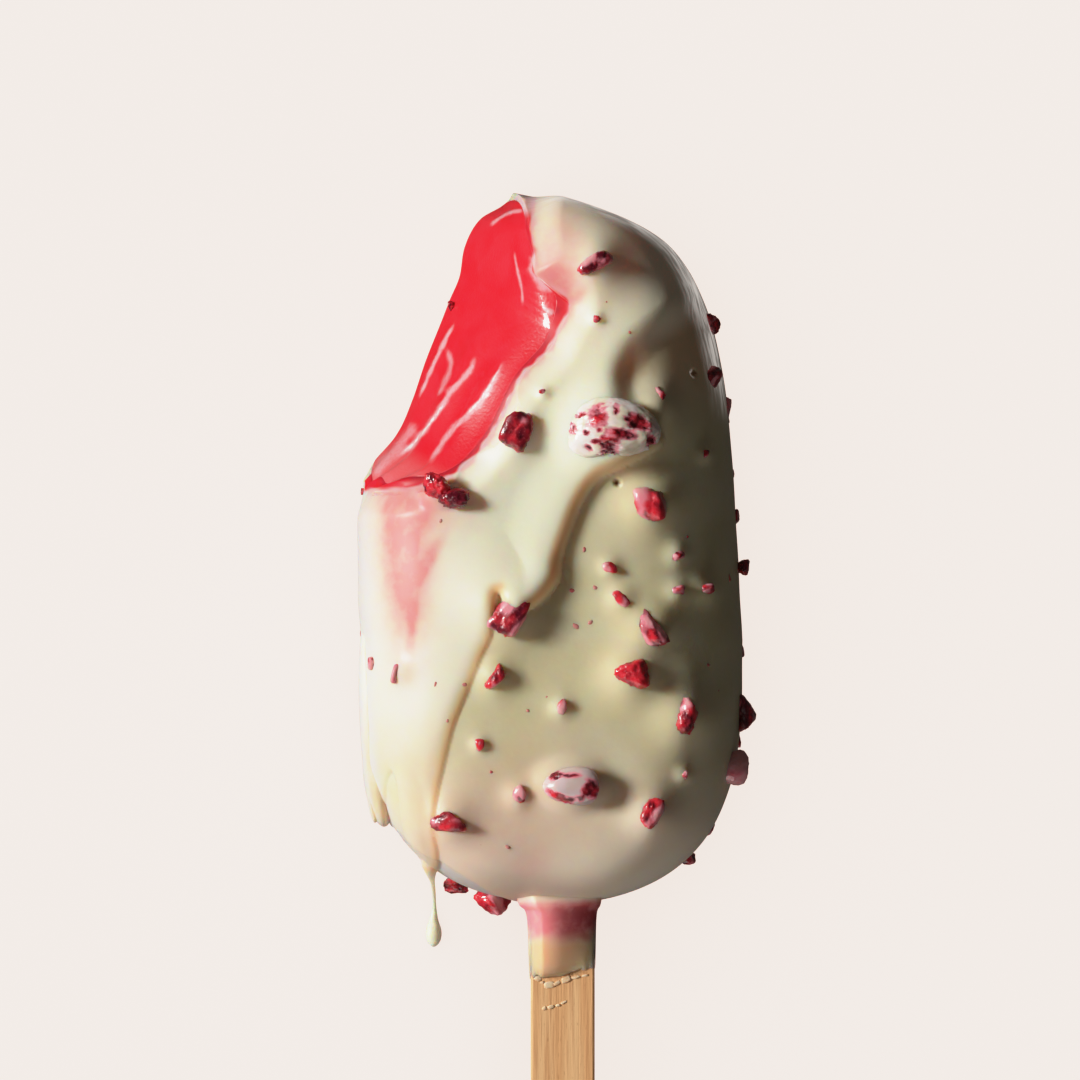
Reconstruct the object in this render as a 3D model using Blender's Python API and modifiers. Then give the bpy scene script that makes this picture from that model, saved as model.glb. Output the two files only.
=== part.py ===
"""A gelato bar on a wooden stick, dipped in white coating with raspberry pieces, with one bite taken.

The bar lies on its flat back. +Z is the front that shows, +Y runs from the stick to the bar's top,
and the origin is on the flat back, under the middle of the bar. Units are metres.
"""

import math
import random

import bmesh
import bpy
import numpy as np
from mathutils import Matrix, Vector, noise

MM = 0.001

# The bar's outline as seen from the front.
BAR_TOP = 47.7 * MM
BAR_BOTTOM = -46.9 * MM
WIDEST_Y = -12.0 * MM
HALF_WIDTH = 25.3 * MM
MIDDLE_X = 0.3 * MM
TOP_TAPER = 0.05
TOP_LEAN = -1.8 * MM
TIP_LEAN = -1.6 * MM
TIP_LEAN_POWER = 16
TIP_SLANT = 0.2
TIP_SLANT_POWER = 12
TIP_SLANT_FROM_X = -4.0 * MM
TOP_POWER = 5.2
BOTTOM_POWER = 3.4
CORNER_POWER = 2.2

# The bar's thickness: a flat back, a low wall and a gently domed front.
WALL_Z = 5.0 * MM
FRONT_Z = 25.0 * MM
SIDE_POWER = 4.6
# Toward the bar's top its front is rounder from side to side: the power there, and where it changes.
TOP_SIDE_POWER = 3.6
TOP_SIDE_FROM = (0.45, 0.75)
TOP_END_POWER = 12.0
BOTTOM_END_POWER = 7.0
BACK_POWER = 10.0
BACK_PRESS = 1.2
# Points this near the flat back are put on it.
BACK_TRUE = 0.05 * MM

# The dipped coating, and the clearance between pieces that touch.
COAT = 1.3 * MM
GAP = 0.3 * MM

# The thick runs of melted coating on the front: tallest half way down, low in the long tongue.
RUN_HEIGHT = 1.6 * MM
TONGUE_HEIGHT = 0.6 * MM
RUN_LIP = 2.3 * MM
RUN_FADE = 9.0 * MM
RUN_FADE_SHARE = 0.45
# Toward the bar's right side, the upper run thins out.
RUN_SIDE_X = (14.0 * MM, 21.0 * MM)
# Where the tall run gives way to the tongue.
TONGUE_FROM_Y = (-12.0 * MM, -6.0 * MM)
# Where the runs stand fuller: x, y, half length, half width, turn and height, in millimetres and degrees.
RUN_SWELLS = ((-1.4, -3.6, 3.4, 2.6, 90, 0.5), (7.0, 17.0, 6.0, 5.0, 0, 0.5))
# The coating has melted thin at the edge of the bite.
BITE_LIP_DROP = 0.8 * MM
BITE_LIP_WIDTH = 4.0 * MM

# The sleeve of coating that has run down the stick: how far below the bar each ring lies, how far it
# stands out all round, and how high it is domed in front, in millimetres.
SLEEVE_RINGS = (
    (-4.0, 2.4, 0.5), (-0.6, 1.7, 2.0), (0.4, 1.0, 2.5), (1.6, 0.75, 2.6), (3.0, 0.7, 2.6),
    (4.4, 0.7, 2.5), (6.2, 0.65, 2.2), (7.8, 0.6, 1.7), (8.8, 0.58, 0.9), (9.3, 0.55, 0.1),
)
SLEEVE_SIDES = 22
SLEEVE_SQUARENESS = (0.2, 0.2)
# It stands out less at the right, and past this far below the bar its rings rise toward the right.
SLEEVE_RIGHT_SHARE = 0.8
SLEEVE_EVEN_TO = 4.4
SLEEVE_RISE = 1.3 * MM
# The dome is highest this far across the stick, from -1 at its left side to 1 at its right, and past its
# peak it falls off more steeply the larger this bulge is.
SLEEVE_PEAK = -0.55
SLEEVE_BULGE = 0.4

# The wooden stick.
STICK_X = 1.65 * MM
STICK_Z = 13.0 * MM
STICK_WIDTH = 8.4 * MM
STICK_THICKNESS = 2.0 * MM
STICK_LENGTH = 113.0 * MM
STICK_OUT = 50.0 * MM
STICK_END_SHARE = 0.49
STICK_END_STEPS = 6
STICK_EASE = 0.3 * MM
SLOT_OUT = 12.0 * MM

# The right and lower edge of the melted runs, in millimetres, from the upper right down to the drip.
RUN_EDGE = (
    (29.0, 35.0), (22.0, 30.5), (17.2, 27.6), (13.6, 25.0), (10.6, 21.5), (13.0, 17.5),
    (14.0, 13.6), (9.4, 10.6), (6.3, 9.0), (4.3, 6.2), (2.9, 2.9), (1.7, -0.8),
    (1.2, -4.0), (-1.3, -6.9), (-4.2, -8.0), (-5.9, -6.0), (-6.3, -3.2), (-6.9, -6.5),
    (-7.5, -11.0), (-8.8, -13.8), (-10.5, -18.0), (-12.3, -22.5), (-13.5, -27.1),
    (-14.4, -31.6), (-14.6, -36.0), (-14.4, -39.5), (-15.1, -42.6),
)
# The same run's left side, then the short drip at the bar's left edge.
RUN_LEFT_SIDE = (
    (-16.6, -42.6), (-18.2, -39.5), (-19.3, -35.5), (-19.8, -31.0), (-20.5, -28.9),
    (-21.3, -30.5), (-21.6, -33.2), (-22.4, -35.7), (-23.6, -36.3), (-24.9, -35.3),
)
# Well outside the bar, so that the runs reach round its left side and its top.
RUN_BEYOND = ((-33.0, -30.0), (-36.0, 10.0), (-30.0, 50.0), (0.0, 60.0), (36.0, 58.0))

# The thread of coating that hangs from the tongue: x, y, z and radius in millimetres.
THREAD = (
    (-15.7, -40.3, 16.2, 2.0), (-15.6, -43.0, 11.8, 1.2), (-15.5, -45.2, 7.0, 0.6),
    (-15.5, -47.0, 3.0, 0.45), (-15.5, -48.6, 1.1, 0.45), (-15.6, -50.0, 0.9, 0.7),
)
BEAD_PLACE = Vector((-15.6, -50.7, 0.9)) * MM
BEAD_SIZE = Vector((1.2, 2.6, 1.2)) * MM
# The bead narrows upward, and its underside is flat on the table.
BEAD_NARROWING = 0.35
BEAD_FLAT = 0.75
# The rounded end of the short drip on the bar's left wall: place, size and turn.
DRIP_END = ((-22.7, -30.4, 11.0), (3.8, 12.4, 9.0), 8)

# The bite, in millimetres from the top down: where it meets the front, and where it meets the back.
BITE_FRONT = (
    (-2.0, 54.0), (-2.2, 46.0), (-2.5, 42.5), (-2.1, 38.6), (-1.9, 35.4), (2.3, 32.2), (0.9, 28.3),
    (-0.5, 25.8), (-3.5, 23.0), (-4.8, 20.9), (-7.5, 15.3), (-11.4, 10.8), (-15.8, 8.7), (-20.6, 8.0),
    (-24.4, 7.9), (-34.0, 6.6),
)
BITE_BACK = (
    (-3.0, 55.0), (-5.2, 47.3), (-9.4, 44.2), (-11.4, 40.6), (-12.1, 36.6), (-13.4, 33.5), (-14.6, 30.4),
    (-16.6, 25.4), (-18.4, 20.1), (-20.4, 15.6), (-23.4, 12.0), (-25.0, 9.4), (-27.0, 7.6), (-36.0, 5.0),
)
# With the front edge, these points close an outline round all that was bitten off.
BITE_BEYOND = ((-60.0, 6.6), (-60.0, 54.0))
BITE_BACK_Z = 3.0 * MM
BITE_LEVELS = (-3.0 * MM, 32.0 * MM)
# The shares of the rows below its back edge, and below its front edge.
BITE_ROWS = (0.08, 0.8)
BITE_EDGE_LOWEST = 14.0 * MM
# The bitten surface leaves the front at a shallow slope and steepens toward the back.
BITE_FLAT_SHARE = 0.35
BITE_ABOVE_SLOPE = 1.0
BITE_ABOVE_MOST = 1.5 * MM
BITE_BELOW_SLOPE = 0.1
# The surface follows the front's curve as averaged over these lengths each way, below its edge and at it.
BITE_SMOOTHING = 4.5 * MM
BITE_EDGE_SMOOTHING = 0.4 * MM
BITE_SHIFTS = 31
NOTCH_DEPTH = 0.1
# The bite opens toward the upper left: one place along this direction for each place across it and height.
BITE_TOWARD = (-0.857, 0.515)
BITE_REACH = 70.0 * MM
# Ridges left by the teeth, in the lower half of the bite.
RIDGES = 3.0
RIDGE_HEIGHT = 0.4 * MM
RIDGE_START = -0.9
RIDGE_WANDER = 0.11
RIDGE_WANDER_LENGTH = 5.5 * MM
RIDGE_DRIFT = -0.12
RIDGES_FADE = (8.0 * MM, 26.0 * MM)

# Raspberry pieces on the front: x, y, length, width and turn, in millimetres and degrees.
FRONT_PIECES = (
    (-4.2, 15.5, 5.2, 4.2, 60), (5.8, 36.9, 4.6, 2.9, 50), (12.9, 6.1, 5.0, 4.2, 100),
    (-5.2, -8.3, 6.0, 4.2, 55), (-7.0, -16.3, 3.7, 2.2, 70), (10.5, -16.1, 4.6, 4.0, 10),
    (13.0, -9.9, 5.6, 3.0, 115), (17.4, -21.6, 5.0, 3.9, 125), (13.0, -33.9, 4.2, 3.3, 80),
    (-13.3, -35.0, 4.6, 3.3, 10), (-9.1, -25.1, 1.7, 1.2, 90), (-4.0, -31.6, 2.8, 1.8, 100),
    (7.7, -2.2, 2.0, 1.5, 0), (9.2, -6.2, 2.9, 1.7, -35), (16.4, -0.6, 2.0, 1.6, 0),
    (16.4, -5.4, 2.2, 1.6, 10), (19.9, -5.2, 2.9, 1.7, 10), (13.7, 19.4, 4.0, 2.8, -50),
    (20.0, 12.5, 1.6, 1.2, 40), (-19.9, -15.9, 3.0, 1.3, 75), (6.0, 29.8, 1.1, 1.1, 0),
    (1.5, -20.3, 2.4, 1.3, 80), (-0.9, 20.3, 1.3, 1.0, 0), (17.3, -29.1, 1.5, 1.1, 100),
)
# Raspberry pieces on the walls: x, y, z, length, width and turn.
WALL_PIECES = (
    (24.0, -28.6, 13.5, 4.8, 4.4, 90), (25.6, -21.4, 10.5, 5.0, 3.2, 100), (21.3, 29.6, 11.0, 3.2, 2.4, 80),
    (20.9, 22.7, 16.5, 3.4, 2.9, 60), (23.0, 18.1, 8.0, 4.5, 1.8, 82), (25.5, -2.2, 10.0, 2.2, 1.8, 80),
    (24.6, 4.4, 7.5, 2.2, 1.2, 90), (18.2, -40.9, 7.0, 2.4, 1.9, 0), (-12.5, -44.6, 6.6, 3.4, 2.2, 0),
    (-7.7, -46.5, 6.8, 5.0, 3.6, -22), (-24.7, -10.9, 9.0, 1.8, 1.0, 90), (-23.4, -14.8, 17.0, 1.8, 1.0, 90),
)
# More pieces on the walls that the photo leaves out of sight, placed by a seeded rule.
SPARE_WALL_PIECES = 9
SPARE_SIZE = (1.6 * MM, 2.6 * MM)
SPARE_Z = (4.0 * MM, 9.0 * MM)
SPARE_ALONG = (-0.75, 0.85)
PIECE_SEED = 11
# A piece is a ball pushed in and out, about as tall as wide, and stands this much out of the coating.
PIECE_ROUGHNESS = 0.5
PIECE_TALL = 0.85
PIECE_OUT = 0.2
# The coating climbs this share of a piece's size, and falls off over this many times its size.
MOUND_HEIGHT = 0.3
MOUND_REACH = 0.85
BERRY_MOUND_REACH = 0.66

# The three raspberry pieces as large as berries: x, y, z of the base, length, width, height and turn.
BERRY_PIECES = {
    "raspberry_large": (8.3, 15.4, 24.7, 11.9, 8.4, 5.4, -8),
    "raspberry_low": (2.7, -30.2, 24.3, 7.3, 5.0, 3.8, -6),
    "raspberry_at_bite": (-13.3, 7.7, 23.9, 6.0, 4.2, 3.8, -28),
}
BERRY_NETS = {"raspberry_large": 3, "raspberry_low": 2, "raspberry_at_bite": 2}
BERRY_ROUGHNESS = 0.35

# How finely each form is divided.
CURVE_STEPS = 8
SKIN_STEPS = (220, 240)
CORE_STEPS = (30, 24)
SKIN_TRIANGLES = 3840
BITE_STEPS = (46, 23)
PIECE_NET = 2
SHARP_FROM_DEGREES = 40
POINTS_AT_ONCE = 4000


def clear_scene():
    for obj in list(bpy.data.objects):
        bpy.data.objects.remove(obj, do_unlink=True)


def new_collection(name):
    collection = bpy.data.collections.new(name)
    bpy.context.scene.collection.children.link(collection)
    return collection


def principled(name, colour, roughness):
    material = bpy.data.materials.new(name)
    material.use_nodes = True
    shader = material.node_tree.nodes["Principled BSDF"]
    shader.inputs["Base Color"].default_value = (*colour, 1.0)
    shader.inputs["Roughness"].default_value = roughness
    shader.inputs["Metallic"].default_value = 0.0
    return material


def smooth_step(low, high, value):
    share = np.clip((value - low) / (high - low), 0.0, 1.0)
    return share * share * (3.0 - 2.0 * share)


def curve_through(points, steps, closed=False):
    """A Catmull-Rom curve through the points, as steps points for each stretch."""
    points = np.array(points, float)
    if closed:
        padded = np.vstack([points[-1], points, points[0], points[1]])
    else:
        padded = np.vstack([2 * points[0] - points[1], points, 2 * points[-1] - points[-2]])
    t = (np.arange(steps) / steps)[:, None]
    rows = []
    for a, b, c, d in zip(padded, padded[1:], padded[2:], padded[3:]):
        bend = (2 * a - 5 * b + 4 * c - d) * t**2
        twist = (3 * b - a - 3 * c + d) * t**3
        rows.append(0.5 * (2 * b + (c - a) * t + bend + twist))
    if not closed:
        rows.append(points[-1:])
    return np.vstack(rows)


def zone_distance(x, y, zone):
    """The distance from an oval zone's middle to each point, where 1 is the zone's outline."""
    middle_x, middle_y, length, width, turn = zone
    angle = math.radians(turn)
    right, over = x - middle_x * MM, y - middle_y * MM
    along = (right * math.cos(angle) + over * math.sin(angle)) / (length * MM)
    across = (over * math.cos(angle) - right * math.sin(angle)) / (width * MM)
    return np.hypot(along, across)


# --- The bar's own form ---------------------------------------------------------------------------


def along_of(y):
    """How far along the bar a y lies: -1 at its bottom, 0 where it is widest, 1 at its top."""
    up = (y - WIDEST_Y) / (BAR_TOP - WIDEST_Y)
    down = (y - WIDEST_Y) / (WIDEST_Y - BAR_BOTTOM)
    return np.clip(np.where(y > WIDEST_Y, up, down), -1.0, 1.0)


def half_width(along):
    up = np.clip(along, 0.0, 1.0)
    down = np.clip(-along, 0.0, 1.0)
    top = (1.0 - TOP_TAPER * up) * (1.0 - up**TOP_POWER) ** (1 / CORNER_POWER)
    bottom = (1.0 - down**BOTTOM_POWER) ** (1 / CORNER_POWER)
    return HALF_WIDTH * np.where(along > 0, top, bottom)


def centre_x(along):
    up = np.clip(along, 0.0, 1.0)
    return MIDDLE_X + TOP_LEAN * up + TIP_LEAN * up**TIP_LEAN_POWER


def end_rounding(along):
    top = (1.0 - np.clip(along, 0.0, 1.0) ** TOP_END_POWER) ** (1 / CORNER_POWER)
    bottom = (1.0 - np.clip(-along, 0.0, 1.0) ** BOTTOM_END_POWER) ** (1 / CORNER_POWER)
    return np.where(along > 0, top, bottom)


def front_dome(across, along):
    """The front's height across the bar, as a share of its height in the middle."""
    power = SIDE_POWER + (TOP_SIDE_POWER - SIDE_POWER) * smooth_step(*TOP_SIDE_FROM, along)
    return (1.0 - np.clip(np.abs(across), 0.0, 1.0) ** power) ** (1 / CORNER_POWER)


def front_height(x, y):
    """The height of the bar's front over a point of its plan, without the runs."""
    along = along_of(y)
    across = (x - centre_x(along)) / np.maximum(half_width(along), 1e-6)
    return WALL_Z + (FRONT_Z - WALL_Z) * front_dome(across, along) * end_rounding(along)


def section_table():
    """The bar's cross section as unit offsets (across, up), spaced by length along its outline."""
    angle = np.linspace(0.0, 2 * math.pi, 8001)
    cosine, sine = np.cos(angle), np.sin(angle)
    front = sine >= 0
    across_power = np.where(front, 2 / SIDE_POWER, 2 / BACK_POWER)
    up_power = np.where(front, 2 / CORNER_POWER, 1.0)
    across = np.sign(cosine) * np.abs(cosine) ** across_power
    up = np.sign(sine) * np.abs(sine) ** up_power
    rise = np.where(up > 0, FRONT_Z - WALL_Z, WALL_Z)
    length = np.hypot(np.diff(across * HALF_WIDTH), np.diff(up * rise))
    place = np.concatenate([[0.0], np.cumsum(length)])
    return place / place[-1], across, up


def bar_mesh(steps):
    """The bar as a sphere's net drawn out to the bar's outline and cross section."""
    section_steps, length_steps = steps
    bm = bmesh.new()
    bmesh.ops.create_uvsphere(bm, u_segments=section_steps, v_segments=length_steps, radius=1.0)
    unit = np.array([v.co for v in bm.verts])
    along = np.clip(unit[:, 2], -1.0, 1.0)
    share = (np.arctan2(unit[:, 1], unit[:, 0]) / (2 * math.pi)) % 1.0
    place, across_table, up_table = section_table()
    across = np.interp(share, place, across_table)
    up = np.interp(share, place, up_table)
    x = centre_x(along) + half_width(along) * across
    y = WIDEST_Y + along * np.where(along > 0, BAR_TOP - WIDEST_Y, WIDEST_Y - BAR_BOTTOM)
    y -= TIP_SLANT * (x - TIP_SLANT_FROM_X) * np.clip(along, 0.0, 1.0) ** TIP_SLANT_POWER
    front = WALL_Z + (FRONT_Z - WALL_Z) * front_dome(across, along) * end_rounding(along)
    back = WALL_Z * (1.0 + BACK_PRESS * up * np.minimum(1.0, end_rounding(along) * 1.15))
    z = np.where(up > 0, front, np.maximum(back, 0.0))
    for vertex, spot in zip(bm.verts, zip(x, y, z)):
        vertex.co = spot
    bmesh.ops.reverse_faces(bm, faces=bm.faces)
    bm.normal_update()
    return bm


# --- Melted runs ----------------------------------------------------------------------------------


def distance_inside(x, y, outline):
    """How far each point lies inside a closed outline, in metres; negative outside."""
    start, end = outline, np.roll(outline, -1, axis=0)
    step = end - start
    result = np.empty(len(x))
    for low in range(0, len(x), POINTS_AT_ONCE):
        px, py = x[low : low + POINTS_AT_ONCE, None], y[low : low + POINTS_AT_ONCE, None]
        t = ((px - start[:, 0]) * step[:, 0] + (py - start[:, 1]) * step[:, 1]) / (step**2).sum(1)
        t = np.clip(t, 0.0, 1.0)
        near = np.hypot(px - start[:, 0] - t * step[:, 0], py - start[:, 1] - t * step[:, 1]).min(1)
        spans = (start[:, 1] > py) != (end[:, 1] > py)
        rise = np.where(step[:, 1] == 0, 1e-12, step[:, 1])
        crossing = start[:, 0] + (py - start[:, 1]) / rise * step[:, 0]
        inside = (spans & (px < crossing)).sum(1) % 2 == 1
        result[low : low + POINTS_AT_ONCE] = np.where(inside, near, -near)
    return result


def run_outline():
    return curve_through(RUN_EDGE + RUN_LEFT_SIDE + RUN_BEYOND, CURVE_STEPS, closed=True) * MM


def run_thickness(x, y):
    """Extra coating on the front: thick at the lip of a run, thinner further back."""
    inside = distance_inside(x, y, run_outline())
    share = np.clip(inside / RUN_LIP, 0.0, 1.0)
    edge = np.sqrt(np.clip(1.0 - (1.0 - share) ** 2, 0.0, 1.0))
    fade = 1.0 - RUN_FADE_SHARE * smooth_step(RUN_LIP, RUN_FADE, inside)
    height = TONGUE_HEIGHT + (RUN_HEIGHT - TONGUE_HEIGHT) * smooth_step(*TONGUE_FROM_Y, y)
    side = 1.0 - smooth_step(*RUN_SIDE_X, x)
    swell = sum(tall * MM * np.exp(-(zone_distance(x, y, zone) ** 2)) for *zone, tall in RUN_SWELLS)
    return (height * fade + swell) * edge * side


# --- The bite -------------------------------------------------------------------------------------


def turned_to_bite(x, y):
    """The places of points across the bite's direction and along it."""
    across = -BITE_TOWARD[0] * y + BITE_TOWARD[1] * x
    along = BITE_TOWARD[0] * x + BITE_TOWARD[1] * y
    return across, along


def turned_from_bite(across, along):
    x = BITE_TOWARD[1] * across + BITE_TOWARD[0] * along
    y = -BITE_TOWARD[0] * across + BITE_TOWARD[1] * along
    return x, y


def bite_curve(points):
    """One of the bite's two curves, as places along the bite's direction over places across it."""
    smooth = curve_through(points, 2 * CURVE_STEPS) * MM
    across, along = turned_to_bite(smooth[:, 0], smooth[:, 1])
    order = np.argsort(across)
    return across[order], along[order]


def bite_average(across, points, reach):
    """One of the bite's curves, averaged over a length each way."""
    curve = bite_curve(points)
    shifts = np.linspace(-reach, reach, BITE_SHIFTS)
    return sum(np.interp(across + shift, *curve) for shift in shifts) / BITE_SHIFTS


def bite_top(across):
    """The height of the bite's front edge at each place across it."""
    edge = bite_average(across, BITE_FRONT, BITE_EDGE_SMOOTHING)
    return np.maximum(front_height(*turned_from_bite(across, edge)) - BITE_LIP_DROP, BITE_EDGE_LOWEST)


def bite_level(across, share):
    """The height at a share of the way up the bite: rows follow its front edge and crowd under it."""
    top = bite_top(across)
    back_row, top_row = BITE_ROWS
    under = BITE_LEVELS[0] + (BITE_BACK_Z - BITE_LEVELS[0]) * share / back_row
    left = 1.0 - (share - back_row) / (top_row - back_row)
    face = top - (top - BITE_BACK_Z) * left**2
    above = top + (BITE_LEVELS[1] - top) * (share - top_row) / (1.0 - top_row)
    return np.where(share < back_row, under, np.where(share < top_row, face, above))


def bite_surface(across, z):
    """How far along the bite's direction the bitten surface lies, at each place across it and height."""
    edge = bite_average(across, BITE_FRONT, BITE_EDGE_SMOOTHING)
    near = bite_average(across, BITE_FRONT, BITE_SMOOTHING)
    far = bite_average(across, BITE_BACK, BITE_EDGE_SMOOTHING)
    top = bite_top(across)
    fall = np.clip((top - z) / (top - BITE_BACK_Z), 0.0, 1.0)
    bend = 1.0 - BITE_FLAT_SHARE
    depth = (np.sqrt(BITE_FLAT_SHARE**2 + 4 * bend * fall) - BITE_FLAT_SHARE) / (2 * bend)
    place = near + (far - near) * depth + (edge - near) * np.exp(-((depth / NOTCH_DEPTH) ** 2))
    place -= BITE_ABOVE_SLOPE * np.clip(z - top, 0.0, BITE_ABOVE_MOST)
    place -= BITE_BELOW_SLOPE * np.maximum(BITE_BACK_Z - z, 0.0)
    ridged = 1.0 - smooth_step(*RIDGES_FADE, across)
    wander = RIDGE_WANDER * np.sin(across / RIDGE_WANDER_LENGTH) + RIDGE_DRIFT * ridged
    wave = np.cos(2 * math.pi * (RIDGES * (depth - wander) + RIDGE_START))
    slope = (far - near) / (top - BITE_BACK_Z) / (BITE_FLAT_SHARE + 2 * bend * depth)
    return place + RIDGE_HEIGHT * wave * ridged * np.sin(math.pi * depth) * np.hypot(1.0, slope)


def extra_coating(x, y):
    """What the runs add to the coating, and what the bite's warmth has taken off it."""
    outline = np.vstack([curve_through(BITE_FRONT, CURVE_STEPS), BITE_BEYOND]) * MM
    room = -distance_inside(x, y, outline)
    thinned = 1.0 - smooth_step(-0.2 * BITE_LIP_WIDTH, BITE_LIP_WIDTH, room)
    return run_thickness(x, y) * (1 - thinned) - BITE_LIP_DROP * thinned


def skin_height(x, y):
    x, y = np.atleast_1d(x), np.atleast_1d(y)
    return front_height(x, y) + extra_coating(x, y)


def mounds(x, y):
    """Coating that climbs up round each raspberry piece."""
    total = np.zeros(len(x))
    for piece_x, piece_y, length, width, _ in FRONT_PIECES:
        size = 0.5 * (length + width) * MM
        far = np.hypot(x - piece_x * MM, y - piece_y * MM) / (MOUND_REACH * size)
        total += MOUND_HEIGHT * size * np.exp(-(far**2))
    for piece_x, piece_y, _, length, width, tall, _ in BERRY_PIECES.values():
        far_x = (x - piece_x * MM) / (BERRY_MOUND_REACH * length * MM)
        far_y = (y - piece_y * MM) / (BERRY_MOUND_REACH * width * MM)
        total += MOUND_HEIGHT * tall * MM * np.exp(-(np.hypot(far_x, far_y) ** 4))
    return total


# --- Building blocks ------------------------------------------------------------------------------


def object_of(bm, name, collection, material=None):
    mesh = bpy.data.meshes.new(name)
    bm.to_mesh(mesh)
    bm.free()
    obj = bpy.data.objects.new(name, mesh)
    if material:
        mesh.materials.append(material)
    collection.objects.link(obj)
    return obj


def apply_modifiers(obj):
    """Puts the object's evaluated mesh, as triangles, in place of its modifiers."""
    graph = bpy.context.evaluated_depsgraph_get()
    mesh = bpy.data.meshes.new_from_object(obj.evaluated_get(graph))
    bm = bmesh.new()
    bm.from_mesh(mesh)
    bmesh.ops.triangulate(bm, faces=bm.faces)
    bm.to_mesh(mesh)
    bm.free()
    obj.modifiers.clear()
    obj.data = mesh


def combine(obj, other, operation):
    """A Boolean with one object, or with every object of a collection."""
    modifier = obj.modifiers.new(operation.title(), "BOOLEAN")
    modifier.operation = operation
    if isinstance(other, bpy.types.Collection):
        modifier.operand_type = "COLLECTION"
        modifier.collection = other
    else:
        modifier.object = other
    apply_modifiers(obj)


def set_back(obj, distance):
    """Moves a skin's points in along their normals, as for the gelato under its coating."""
    bm = bmesh.new()
    bm.from_mesh(obj.data)
    bm.normal_update()
    moved = [v.co - v.normal * distance for v in bm.verts]
    for vertex, place in zip(bm.verts, moved):
        vertex.co = place
        vertex.co.z = max(vertex.co.z, distance)
    bm.to_mesh(obj.data)
    bm.free()


def as_cutter(obj):
    obj.hide_render = True
    obj.display_type = "WIRE"
    return obj


def lump(name, collection, middle, size, turn, seed, net=PIECE_NET, roughness=PIECE_ROUGHNESS):
    """An uneven crumb of dried fruit: a ball pushed in and out, then stretched to its size and turned."""
    bm = bmesh.new()
    bmesh.ops.create_icosphere(bm, subdivisions=net, radius=0.5)
    shift = Vector((seed * 3.7, seed * 1.3, seed * 2.1))
    pushed = np.array([v.co * (1.0 + roughness * noise.noise(v.co * 4.0 + shift)) for v in bm.verts])
    low, high = pushed.min(0), pushed.max(0)
    for vertex, spot in zip(bm.verts, (pushed - (low + high) / 2) / (high - low)):
        vertex.co = spot
    turned = Matrix.Rotation(math.radians(turn), 4, "Z")
    matrix = Matrix.Translation(middle) @ turned @ Matrix.Diagonal((*size, 1.0))
    bmesh.ops.transform(bm, matrix=matrix, verts=bm.verts)
    return object_of(bm, name, collection)


# --- The pieces -----------------------------------------------------------------------------------


def make_bite_cutter(collection):
    """The bitten-off corner: the bitten surface, drawn out past the bar."""
    low, high = bite_curve(BITE_FRONT)[0][[0, -1]]
    bm = bmesh.new()
    bmesh.ops.create_grid(bm, x_segments=BITE_STEPS[0], y_segments=BITE_STEPS[1], size=1.0)
    grid = (np.array([v.co for v in bm.verts]) + 1.0) / 2
    across = low + (high - low) * grid[:, 0]
    z = bite_level(across, grid[:, 1])
    x, y = turned_from_bite(across, bite_surface(across, z))
    for vertex, spot in zip(bm.verts, zip(x, y, z)):
        vertex.co = spot
    bmesh.ops.triangulate(bm, faces=bm.faces)
    swept = bmesh.ops.extrude_face_region(bm, geom=bm.faces[:])
    moved = [item for item in swept["geom"] if isinstance(item, bmesh.types.BMVert)]
    bmesh.ops.translate(bm, verts=moved, vec=Vector((*BITE_TOWARD, 0.0)) * BITE_REACH)
    bmesh.ops.recalc_face_normals(bm, faces=bm.faces)
    return as_cutter(object_of(bm, "bite", collection))


def box(middle, size):
    bm = bmesh.new()
    bmesh.ops.create_cube(bm, size=1.0)
    placed = Matrix.Translation(middle) @ Matrix.Diagonal((*size, 1.0))
    bmesh.ops.transform(bm, matrix=placed, verts=bm.verts)
    return bm


def make_slot_cutter(collection):
    """The space that the stick takes in the gelato and the coating, with its clearance."""
    inner_end = BAR_BOTTOM - STICK_OUT + STICK_LENGTH + GAP
    outer_end = BAR_BOTTOM - SLOT_OUT
    size = (STICK_WIDTH + 2 * GAP, inner_end - outer_end, STICK_THICKNESS + 2 * GAP)
    middle = (STICK_X, (inner_end + outer_end) / 2, STICK_Z)
    return as_cutter(object_of(box(middle, size), "slot", collection))


def make_stick(collection, material):
    """A flat wooden stick with rounded ends and eased edges."""
    bm = box((0.0, 0.0, 0.0), (STICK_WIDTH, STICK_LENGTH, STICK_THICKNESS))
    corners = [e for e in bm.edges if abs(e.verts[0].co.z - e.verts[1].co.z) > STICK_THICKNESS / 2]
    radius = STICK_END_SHARE * STICK_WIDTH
    bmesh.ops.bevel(bm, geom=corners, offset=radius, segments=STICK_END_STEPS, profile=0.5, affect="EDGES")
    stick = object_of(bm, "stick", collection, material)
    stick.location = (STICK_X, BAR_BOTTOM - STICK_OUT + STICK_LENGTH / 2, STICK_Z)
    eased = stick.modifiers.new("Eased edges", "BEVEL")
    eased.width = STICK_EASE
    eased.segments = 2
    eased.limit_method = "ANGLE"
    eased.angle_limit = math.radians(50)
    return stick


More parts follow.
